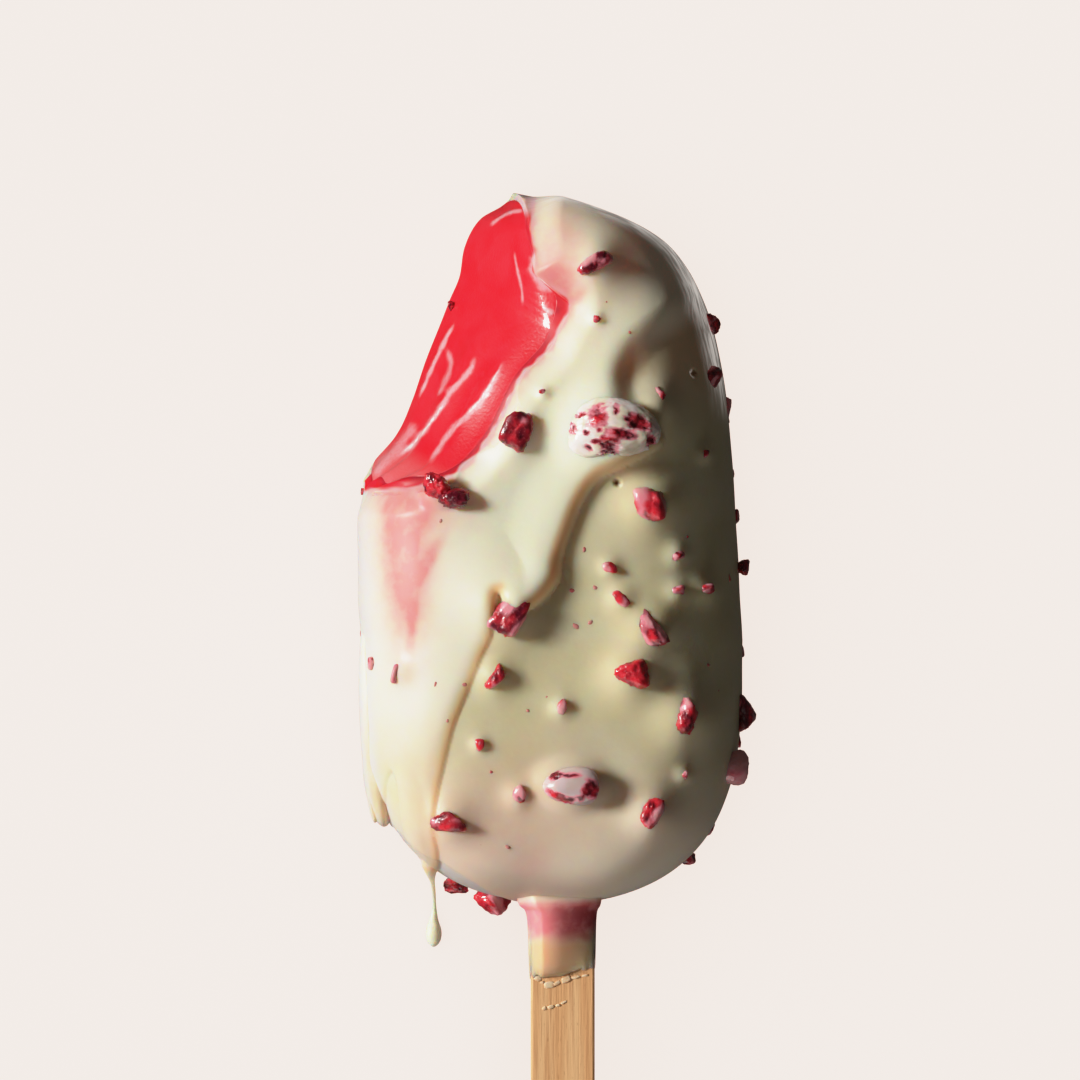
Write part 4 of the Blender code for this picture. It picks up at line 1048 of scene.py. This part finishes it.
def put_down(points, middle, size, turn):
    """The points scaled to a size, turned about the vertical and moved into place, in millimetres."""
    low, high = points.min(0), points.max(0)
    scaled = (points - (low + high) / 2) / (high - low) * np.array(size)
    angle = math.radians(turn)
    cosine, sine = math.cos(angle), math.sin(angle)
    turned = np.array([[cosine, sine, 0], [-sine, cosine, 0], [0, 0, 1]])
    return scaled @ turned + np.array(middle)


def film_over(form, places, seed, covered, bare):
    """How far coating covers each point: all but the bare zones, or else a share in random patches."""
    if bare:
        x, y = places[:, 0] * MM, places[:, 1] * MM
        far = np.min([zone_distance(x, y, zone) for zone in bare], axis=0)
        far = far + RAGGED * layered_noise(form, seed, RAGGED_LAYERS)
        return smooth_step(1.0 - BARE_SOFTNESS, 1.0 + BARE_SOFTNESS, far)
    if covered < LEAST_COVERED:
        return np.zeros(len(form))
    patches = layered_noise(form, seed, PATCH_LAYERS)
    level = np.quantile(patches, 1.0 - covered)
    return SMALL_PIECE_FILM * smooth_step(level - COVER_SOFTNESS, level + COVER_SOFTNESS, patches)


def chunk_shape(
    middle, size, turn, seed, net, covered, bright, cells=SMALL_CELLS, power=CHUNK_POWER, bare=(),
):
    """A raspberry piece: its points, its triangles, and how covered and how bright each point is."""
    points, triangles = BALLS[net]
    directions = points / np.linalg.norm(points, axis=1)[:, None]
    draw = random.Random(seed)
    faces = np.array([[draw.gauss(0, 1) for _ in range(3)] for _ in range(CHUNK_FACES)])
    faces /= np.linalg.norm(faces, axis=1)[:, None]
    faces = np.vstack([faces, np.eye(3), -np.eye(3)])
    away = np.array([draw.uniform(*CHUNK_FACE_FROM) for _ in range(CHUNK_FACES)] + [CHUNK_SIDES_FROM] * 6)
    reach = (np.clip(directions @ faces.T / away, 0.0, None) ** power).sum(1) ** (-1 / power)
    form = directions * reach[:, None]
    film = film_over(form, put_down(form, middle, size, turn), seed, covered, bare)
    crumbs = CRUMB_LEVEL - cells_at(form, cells, seed)
    crumbs = crumbs + CRUMBS_FINE * noise_at(form, 3.0 * cells, seed + 2)
    crumbs = crumbs + CRUMBS_BROAD * noise_at(form, CRUMBS_BROAD_SCALE, seed + 5)
    relief = BARE_RELIEF * crumbs * (1.0 - FILM_SMOOTHS * film) + COVER_THICKNESS * film
    places = put_down(form * (1.0 + relief)[:, None], middle, size, turn)
    tint = bright + TINT_VARIES * noise_at(form, 1.5, seed + 3) + TINT_OF_CRUMBS * crumbs
    dull = np.full(len(form), max(0.0, 1.0 - bright / DULL_BELOW))
    return places, triangles, {"covered": film, "bright": tint, "dull": dull}


def joined(name, parts):
    """One object from several shapes given in millimetres, with the numbers that each has at its points."""
    points, triangles, start = [], [], 0
    for part_points, part_triangles, _ in parts:
        points.append(part_points * MM)
        triangles.append(part_triangles + start)
        start += len(part_points)
    obj = triangle_mesh(name, np.vstack(points), np.vstack(triangles))
    give_values(obj, {key: np.concatenate([part[2][key] for part in parts]) for key in parts[0][2]})
    return obj


def small_pieces():
    """Place, size, turn, seed, covered share and brightness of each piece fused to the coating."""
    for index, (x, y, length, width, turn, covered, bright) in enumerate(FRONT_PIECES):
        tall = PIECE_TALL * 0.5 * (length + width)
        z = float(skin_height(x * MM, y * MM)[0]) / MM + PIECE_OUT * tall
        yield (x, y, z), (length, width, tall), turn, index, covered, bright
    for index, (x, y, z, length, width, turn, covered, bright) in enumerate(WALL_PIECES):
        seed = FIRST_SEEDS["wall"] + index
        yield (x, y, z), (length, width, PIECE_TALL * length), turn, seed, covered, bright
    random.seed(PIECE_SEED)
    first, last = SPARE_ALONG
    for index in range(SPARE_WALL_PIECES):
        along = first + (last - first) * (index + 0.5 * random.random()) / SPARE_WALL_PIECES
        side = -1 if index % 2 and along <= 0.2 else 1
        y = float(place_along(along))
        x = float(centre_x(along) + side * half_width(along))
        size = random.uniform(*SPARE_SIZE)
        middle = np.array((x - side * SPARE_SUNK * size, y, random.uniform(*SPARE_Z))) / MM
        sizes = np.array((size, SPARE_WIDE * size, SPARE_WIDE * size)) / MM
        yield middle, sizes, 90, FIRST_SEEDS["spare"] + index, SPARE_COVERED, SPARE_BRIGHT
    for index, (x, y, z, length, width) in enumerate(EDGE_BITS):
        yield (x, y, z), (width, length, width), 0, FIRST_SEEDS["edge"] + index, 0.0, EDGE_BRIGHT


def make_small_pieces(material):
    parts = []
    for middle, size, turn, seed, covered, bright in small_pieces():
        net = LARGE_NET if max(size) > LARGE_FROM else SMALL_NET
        power = BERRY_POWER if covered > ROUND_FROM else CHUNK_POWER
        parts.append(chunk_shape(middle, size, turn, seed, net, covered, bright, power=power))
    finish_piece(joined("raspberry_bits", parts), material, "raspberry")


def make_grains(name, grains, net, seed, material, slot):
    """Grains that lie flat: each is its middle, length, width and turn."""
    parts = []
    for index, (middle, length, width, turn) in enumerate(grains):
        size = (length, width, GRAIN_TALL)
        parts.append(chunk_shape(middle, size, turn, seed + index, net, 0.0, GRAIN_BRIGHT))
    finish_piece(joined(name, parts), material, slot)


def make_flakes(material):
    """Crumbs of coating that lie on the stick below the sleeve."""
    z = (STICK_Z + STICK_THICKNESS / 2) / MM + FLAKE_LIFT
    grains = [((x, y, z), *size) for x, y, *size in FLAKES]
    make_grains("coating_flakes", grains, SMALL_NET, FIRST_SEEDS["flake"], material, "white_coating")


def make_specks(material):
    grains = []
    for x, y, *size in SPECKS:
        z = float(skin_height(x * MM, y * MM)[0]) / MM - SPECK_SUNK
        grains.append(((x, y, z), *size))
    make_grains("raspberry_specks", grains, SPECK_NET, FIRST_SEEDS["speck"], material, "raspberry")


def make_berries(material):
    for index, (name, lumps) in enumerate(BERRY_PIECES.items()):
        shapes = []
        for x, y, z, length, width, tall, turn, covered, bright in lumps:
            net = BALL_NETS[-1] if length > LARGE_BERRY_FROM else BERRY_NET
            place, size = (x, y, z + tall / 2), (length, width, tall)
            look = {"cells": BERRY_CELLS, "power": BERRY_POWER, "bare": BERRY_BARE[name]}
            seed = FIRST_SEEDS["berry"] + index + 10 * len(shapes)
            shapes.append(chunk_shape(place, size, turn, seed, net, covered, bright, **look))
        finish_piece(joined(name + "_look", shapes), material, "raspberry", name)


# --- Materials ---


def feed(tree, node, inputs):
    """Sets a node's inputs: a socket is linked, and a text names a value at each point of the mesh."""
    for key, value in inputs.items():
        socket = node.inputs[key]
        if isinstance(value, str):
            value = add_node(tree, "ShaderNodeAttribute", attribute_name=value).outputs["Fac"]
        if isinstance(value, bpy.types.NodeSocket):
            tree.links.new(value, socket)
        else:
            socket.default_value = (*value, 1.0) if socket.type == "RGBA" else value


def add_node(tree, kind, inputs=None, **settings):
    made = tree.nodes.new(kind)
    for key, value in settings.items():
        setattr(made, key, value)
    feed(tree, made, inputs or {})
    return made


def noise_of(tree, scale, detail=3.0, distortion=0.0, stretch=(1.0, 1.0, 1.0)):
    """Noise over the object, measured in millimetres, that changes faster where stretch is larger."""
    where = add_node(tree, "ShaderNodeTexCoord").outputs["Object"]
    places = {0: where, 1: [share / MM for share in stretch]}
    place = add_node(tree, "ShaderNodeVectorMath", places, operation="MULTIPLY").outputs[0]
    inputs = {"Vector": place, "Scale": scale, "Detail": detail, "Distortion": distortion}
    return add_node(tree, "ShaderNodeTexNoise", inputs).outputs["Fac"]


def remap(tree, value, low, high, to_low=0.0, to_high=1.0):
    inputs = {"Value": value, "From Min": low, "From Max": high, "To Min": to_low, "To Max": to_high}
    return add_node(tree, "ShaderNodeMapRange", inputs, interpolation_type="SMOOTHSTEP").outputs["Result"]


def math_of(tree, first, second, operation="MULTIPLY"):
    return add_node(tree, "ShaderNodeMath", {0: first, 1: second}, operation=operation).outputs[0]


def layered(tree, colour, *layers):
    """A colour under layers, each given as how far it covers what is below it and its colour."""
    for cover, over in layers:
        inputs = {0: cover, 6: colour, 7: over}
        colour = add_node(tree, "ShaderNodeMix", inputs, data_type="RGBA").outputs[2]
    return colour


def bump_of(tree, height, strength):
    inputs = {"Height": height, "Strength": strength, "Distance": BUMP_DEPTH}
    return add_node(tree, "ShaderNodeBump", inputs).outputs["Normal"]


def new_material(look):
    """A material named after its look, whose shader inputs are what the look makes in its node tree."""
    material = bpy.data.materials.new(look.__name__)
    material.use_nodes = True
    tree = material.node_tree
    feed(tree, tree.nodes["Principled BSDF"], look(tree))
    return material


BUMP_DEPTH = 0.2 * MM
CREAM = (0.90, 0.86, 0.66)
FRONT_CREAM = (0.72, 0.63, 0.40)
LOW_CREAM = (0.90, 0.70, 0.56)
LEFT_CREAM = (0.90, 0.79, 0.64)
TONGUE_CREAM = (0.61, 0.49, 0.31)
# Painted light: the thread's lighter cream, shown with a faint glow.
THREAD_PAINTED_GLOW = (0.78, 0.76, 0.55)
BLUSH = (0.83, 0.29, 0.28)
GELATO_RED = (0.86, 0.012, 0.028)
# Painted shade and translucent glow along the runs' edges.
LIP_SHADE_OCHRE = (0.95, 0.60, 0.29)
EDGE_PINK = (0.93, 0.40, 0.42)
# Pale lilac of the thin layer, also used as painted light on the left wall.
LILAC_LAYER_AND_LIT_WALL = (0.74, 0.68, 0.66)
# Painted rim reflection: a grey streaky colour and a glow on the top right's wall.
RIM_REFLECTION_GREY = (0.42, 0.40, 0.37)
RIM_REFLECTION_GLOW = (0.9, 0.84, 0.78)
COLLAR_PINK = (0.88, 0.27, 0.30)
# Painted shade on the collar's right side.
COLLAR_SHADE = (0.40, 0.05, 0.06)
SLEEVE_CREAM = (0.86, 0.50, 0.30)
STREAK_PINK = (0.93, 0.42, 0.46)
# White of the strongest smears and of painted highlights.
STREAK_WHITE_AND_HIGHLIGHT = (0.95, 0.74, 0.74)
BERRY_DARK = (0.11, 0.003, 0.013)
BERRY_BRIGHT = (0.72, 0.025, 0.045)
BERRY_PINK = (0.80, 0.26, 0.32)
VEIL_WHITE = (0.90, 0.78, 0.75)
VEIL_CREAM = (0.84, 0.76, 0.60)
VEIL_DULL = (0.50, 0.34, 0.37)
PATCH_CREAM = (0.84, 0.79, 0.70)
PIT_BROWN = (0.28, 0.14, 0.06)
GELATO_PALE = (0.86, 0.035, 0.06)
GELATO_RIM = (0.93, 0.45, 0.45)
BERRY_GRAIN = (0.80, 0.16, 0.18)
SPECK_RED = (0.62, 0.07, 0.08)
SPECK_PALE = (0.72, 0.3, 0.26)
FLAKE_CREAM = (0.86, 0.66, 0.44)
FLAKE_BROWN = (0.78, 0.48, 0.27)
WOOD_PALE = (0.88, 0.53, 0.26)
WOOD_DEEP = (0.80, 0.43, 0.19)
FIBRE_BROWN = (0.56, 0.26, 0.11)
PORE_BROWN = (0.40, 0.17, 0.06)


def white_coating_look(tree):
    soft = noise_of(tree, 0.12, 3.0, 0.6)
    fine = noise_of(tree, 0.55, 4.0)
    streaked = noise_of(tree, 1.2, 3.0, 0.4, (0.25, 0.25, 1.4))
    run = layered(tree, CREAM, ("left", LEFT_CREAM), ("tongue", TONGUE_CREAM))
    # Where the painted rim reflection lies, streaked.
    rim_painted_reflection = math_of(tree, "rim_painted_reflection", remap(tree, streaked, 0.4, 0.6, 0.35, 1.0))
    thin = math_of(tree, "thin", remap(tree, fine, 0.3, 0.7, -0.15, 0.15), "ADD")
    colour = layered(
        tree, FRONT_CREAM,
        ("low", LOW_CREAM),
        ("run", run),
        (remap(tree, soft, 0.35, 0.75, 0.0, 0.25), PATCH_CREAM),
        # Painted shade along the runs' edges.
        (math_of(tree, "lip_painted_shade", 0.75), LIP_SHADE_OCHRE),
        # Thin layer's pale colour and painted light on the left wall.
        ("thin_layer_and_lit_wall", LILAC_LAYER_AND_LIT_WALL),
        (math_of(tree, "blush", remap(tree, fine, 0.25, 0.7, 0.85, 1.1)), BLUSH),
        (rim_painted_reflection, RIM_REFLECTION_GREY),
        (math_of(tree, "collar", remap(tree, fine, 0.2, 0.6, 0.75, 1.0)), COLLAR_PINK),
        # Painted shade on the collar's right side.
        (math_of(tree, "collar_painted_shade", remap(tree, fine, 0.3, 0.6, 0.5, 0.9)), COLLAR_SHADE),
        ("sleeve", SLEEVE_CREAM),
        ("pit", PIT_BROWN),
        (remap(tree, thin, 0.2, 0.8, 0.0, 0.8), EDGE_PINK),
        ("cut", GELATO_RED),
        # Painted light on the thread and bead.
        ("thread", THREAD_PAINTED_GLOW),
    )
    # Painted glow, on the rim reflection and on the thread, though neither is a lamp.
    painted_glow = math_of(tree, math_of(tree, rim_painted_reflection, 0.6), math_of(tree, "thread", 0.1), "MAXIMUM")
    return {
        "Base Color": colour, "Roughness": 0.42, "IOR": 1.45, "Specular IOR Level": 0.33,
        "Subsurface Weight": remap(tree, "solid", 0.0, 1.0, 0.75, 0.15),
        "Subsurface Radius": (3.0, 1.5, 0.6), "Subsurface Scale": 0.0011,
        "Coat Weight": 0.04, "Coat Roughness": 0.16,
        "Emission Color": RIM_REFLECTION_GLOW, "Emission Strength": painted_glow,
        "Normal": bump_of(tree, noise_of(tree, 0.9), 0.12),
    }


def raspberry_gelato_look(tree):
    soft = noise_of(tree, 0.2, 3.0, 0.5)
    fine = noise_of(tree, 1.6, 4.0)
    smear_and_highlight_share = math_of(tree, "smear_and_highlight", remap(tree, fine, 0.2, 0.6, 0.75, 1.1))
    colour = layered(
        tree, GELATO_RED,
        (remap(tree, soft, 0.35, 0.7, 0.0, 0.5), GELATO_PALE),
        (remap(tree, smear_and_highlight_share, 0.12, 0.8, 0.0, 0.85), STREAK_PINK),
        # White of the strongest smears and of painted highlights.
        (remap(tree, smear_and_highlight_share, 0.8, 1.1), STREAK_WHITE_AND_HIGHLIGHT),
        ("rim", GELATO_RIM),
    )
    return {
        "Base Color": colour, "Roughness": 0.36, "IOR": 1.4,
        "Subsurface Weight": 0.5, "Subsurface Radius": (2.0, 0.5, 0.4), "Subsurface Scale": 0.001,
        "Coat Weight": 0.4, "Coat Roughness": 0.1, "Normal": bump_of(tree, noise_of(tree, 2.6, 5.0), 0.3),
    }


def raspberry_look(tree):
    """Raspberry from dark to bright, with a smooth veil of coating where the piece is covered."""
    fine = noise_of(tree, 3.0, 4.0)
    broad = noise_of(tree, 0.5, 2.0)
    veil = layered(tree, VEIL_WHITE, (remap(tree, broad, 0.4, 0.6), VEIL_CREAM), ("dull", VEIL_DULL))
    colour = layered(
        tree, BERRY_DARK,
        ("bright", BERRY_BRIGHT),
        (remap(tree, fine, 0.55, 0.72, 0.0, 0.3), BERRY_GRAIN),
        (remap(tree, "covered", 0.0, 0.5), BERRY_PINK),
        (remap(tree, "covered", 0.45, 0.95), veil),
    )
    grain = math_of(tree, fine, math_of(tree, 1.0, "covered", "SUBTRACT"))
    return {
        "Base Color": colour, "Roughness": 0.28, "IOR": 1.45,
        "Subsurface Weight": 0.5, "Subsurface Radius": (1.6, 0.35, 0.35), "Subsurface Scale": 0.0007,
        "Coat Weight": 0.5, "Coat Roughness": 0.07, "Normal": bump_of(tree, grain, 0.5),
    }


def raspberry_speck_look(tree):
    patches = remap(tree, noise_of(tree, 0.4, 2.0), 0.35, 0.65)
    return {
        "Base Color": layered(tree, SPECK_RED, (patches, SPECK_PALE)), "Roughness": 0.4,
        "Subsurface Weight": 0.5, "Subsurface Radius": (1.0, 0.4, 0.3), "Subsurface Scale": 0.0008,
    }


def coating_flake_look(tree):
    patches = remap(tree, noise_of(tree, 0.9, 2.0), 0.4, 0.6)
    return {
        "Base Color": layered(tree, FLAKE_CREAM, (patches, FLAKE_BROWN)), "Roughness": 0.5,
        "Subsurface Weight": 0.1, "Subsurface Radius": (3.0, 1.3, 0.5), "Subsurface Scale": 0.0002,
    }


def stick_wood_look(tree):
    """Wood whose fibres, bands and pores are all long in the stick's direction."""
    fibres = noise_of(tree, 3.2, 4.0, 0.2, (1.0, 0.035, 1.0))
    bands = noise_of(tree, 0.55, 2.0, 0.3, (1.0, 0.05, 1.0))
    pores = noise_of(tree, 5.0, 2.0, 0.0, (1.0, 0.12, 1.0))
    colour = layered(
        tree, WOOD_PALE,
        (remap(tree, bands, 0.35, 0.65), WOOD_DEEP),
        (remap(tree, fibres, 0.45, 0.7, 0.0, 0.5), FIBRE_BROWN),
        (remap(tree, pores, 0.62, 0.75, 0.0, 0.5), PORE_BROWN),
    )
    return {"Base Color": colour, "Roughness": 0.6, "Normal": bump_of(tree, fibres, 0.3)}


def floor_pale(_):
    return {
        "Base Color": [FLOOR_SHADED * c for c in PALE], "Roughness": 0.9, "Specular IOR Level": 0.0,
        "Emission Color": PALE, "Emission Strength": 1.0 - FLOOR_SHADED,
    }


# --- Camera, light and floor ---

CAMERA_HEIGHT = 0.625
CAMERA_X = -1.333 * MM
CAMERA_Y = 1.333 * MM
LENS_MM = 155.0
SENSOR_MM = 36.0
FLOOR_SIZE = 6.0
PALE = (1.22, 0.965, 0.865)
FLOOR_SHADED = 0.2
KEY_TURN = 14.0
KEY_RISE = 27.0
KEY_STRENGTH = 4.5
KEY_ANGLE = 16.0
KEY_COLOUR = (1.0, 0.985, 0.95)
LOW_TOWARD = (-0.2, -0.95, 0.3)
LOW_STRENGTH = 0.8
LOW_ANGLE = 40.0
LOW_COLOUR = (1.0, 0.95, 0.9)
FLOOR_TOWARD = (-0.3, 0.2, 1.0)
FLOOR_ANGLE = 120.0
FILL_COLOUR = (1.0, 0.9, 0.8)
FILL_STRENGTH = 0.05
# How bright each level of light comes out, so that the brightest parts keep their shades.
BRIGHTEST = 3.0
TONES = (
    (0.0, 0.0), (0.3, 0.3), (0.6, 0.6), (0.8, 0.77), (1.0, 0.85), (1.3, 0.9), (2.0, 0.94), (BRIGHTEST, 0.96),
)


def make_camera():
    camera = put_in_scene("camera", bpy.data.cameras.new("camera"))
    camera.data.lens = LENS_MM
    camera.data.sensor_width = SENSOR_MM
    camera.data.clip_start = 0.01
    camera.data.clip_end = 10.0
    camera.location = (CAMERA_X, CAMERA_Y, CAMERA_HEIGHT)
    bpy.context.scene.camera = camera


def sun(name, toward, strength, angle, colour, lit):
    """A far light that shines from a direction, on the objects of one collection alone."""
    light = bpy.data.lights.new(name, "SUN")
    light.energy = strength
    light.angle = math.radians(angle)
    light.color = colour
    obj = put_in_scene(name, light)
    obj.rotation_euler = Vector(toward).to_track_quat("Z", "Y").to_euler()
    obj.light_linking.receiver_collection = lit


def make_floor():
    bpy.ops.mesh.primitive_plane_add(size=FLOOR_SIZE)
    floor = bpy.context.object
    floor.name = "floor"
    floor.data.materials.append(new_material(floor_pale))
    floor.visible_diffuse = False
    floor.visible_glossy = False
    floor.visible_transmission = False
    floor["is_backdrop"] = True
    return floor


def make_light(floor):
    """A key light from the left, a faint fill all round, and the floor's own even light."""
    bar = bpy.data.collections.new("bar_light")
    ground = bpy.data.collections.new("floor_light")
    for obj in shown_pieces():
        bar.objects.link(obj)
    ground.objects.link(floor)
    turn, rise = math.radians(KEY_TURN), math.radians(KEY_RISE)
    toward = (-math.cos(rise) * math.cos(turn), math.cos(rise) * math.sin(turn), math.sin(rise))
    sun("key", toward, KEY_STRENGTH, KEY_ANGLE, KEY_COLOUR, bar)
    sun("low", LOW_TOWARD, LOW_STRENGTH, LOW_ANGLE, LOW_COLOUR, bar)
    sun("floor_soft", FLOOR_TOWARD, math.pi, FLOOR_ANGLE, (1.0, 1.0, 1.0), ground)
    world = bpy.data.worlds.new("world")
    world.use_nodes = True
    bpy.context.scene.world = world
    tree = world.node_tree
    fill = tree.nodes["Background"]
    feed(tree, fill, {"Color": FILL_COLOUR, "Strength": FILL_STRENGTH})
    seen = add_node(tree, "ShaderNodeBackground", {"Color": PALE, "Strength": 1.0})
    ray = add_node(tree, "ShaderNodeLightPath").outputs["Is Camera Ray"]
    both = add_node(tree, "ShaderNodeMixShader", {0: ray, 1: fill.outputs[0], 2: seen.outputs[0]})
    tree.links.new(both.outputs[0], tree.nodes["World Output"].inputs["Surface"])


def set_tones():
    """Standard colour, with the brightest tones drawn in softly."""
    settings = bpy.context.scene.view_settings
    settings.view_transform = "Standard"
    settings.use_curve_mapping = True
    mapping = settings.curve_mapping
    mapping.white_level = (BRIGHTEST, BRIGHTEST, BRIGHTEST)
    curve = mapping.curves[3]
    curve.points[-1].location = (1.0, TONES[-1][1])
    for light, tone in TONES[1:-1]:
        curve.points.new(light / BRIGHTEST, tone)
    mapping.update()


def main():
    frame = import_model()
    set_tones()
    raspberry = new_material(raspberry_look)
    make_coating(new_material(white_coating_look))
    make_gelato(new_material(raspberry_gelato_look))
    make_flakes(new_material(coating_flake_look))
    make_small_pieces(raspberry)
    make_specks(new_material(raspberry_speck_look))
    make_berries(raspberry)
    stick = frame["nodes"]["stick"]
    stick.data.materials.clear()
    stick.data.materials.append(new_material(stick_wood_look))

    make_camera()
    make_light(make_floor())


main()
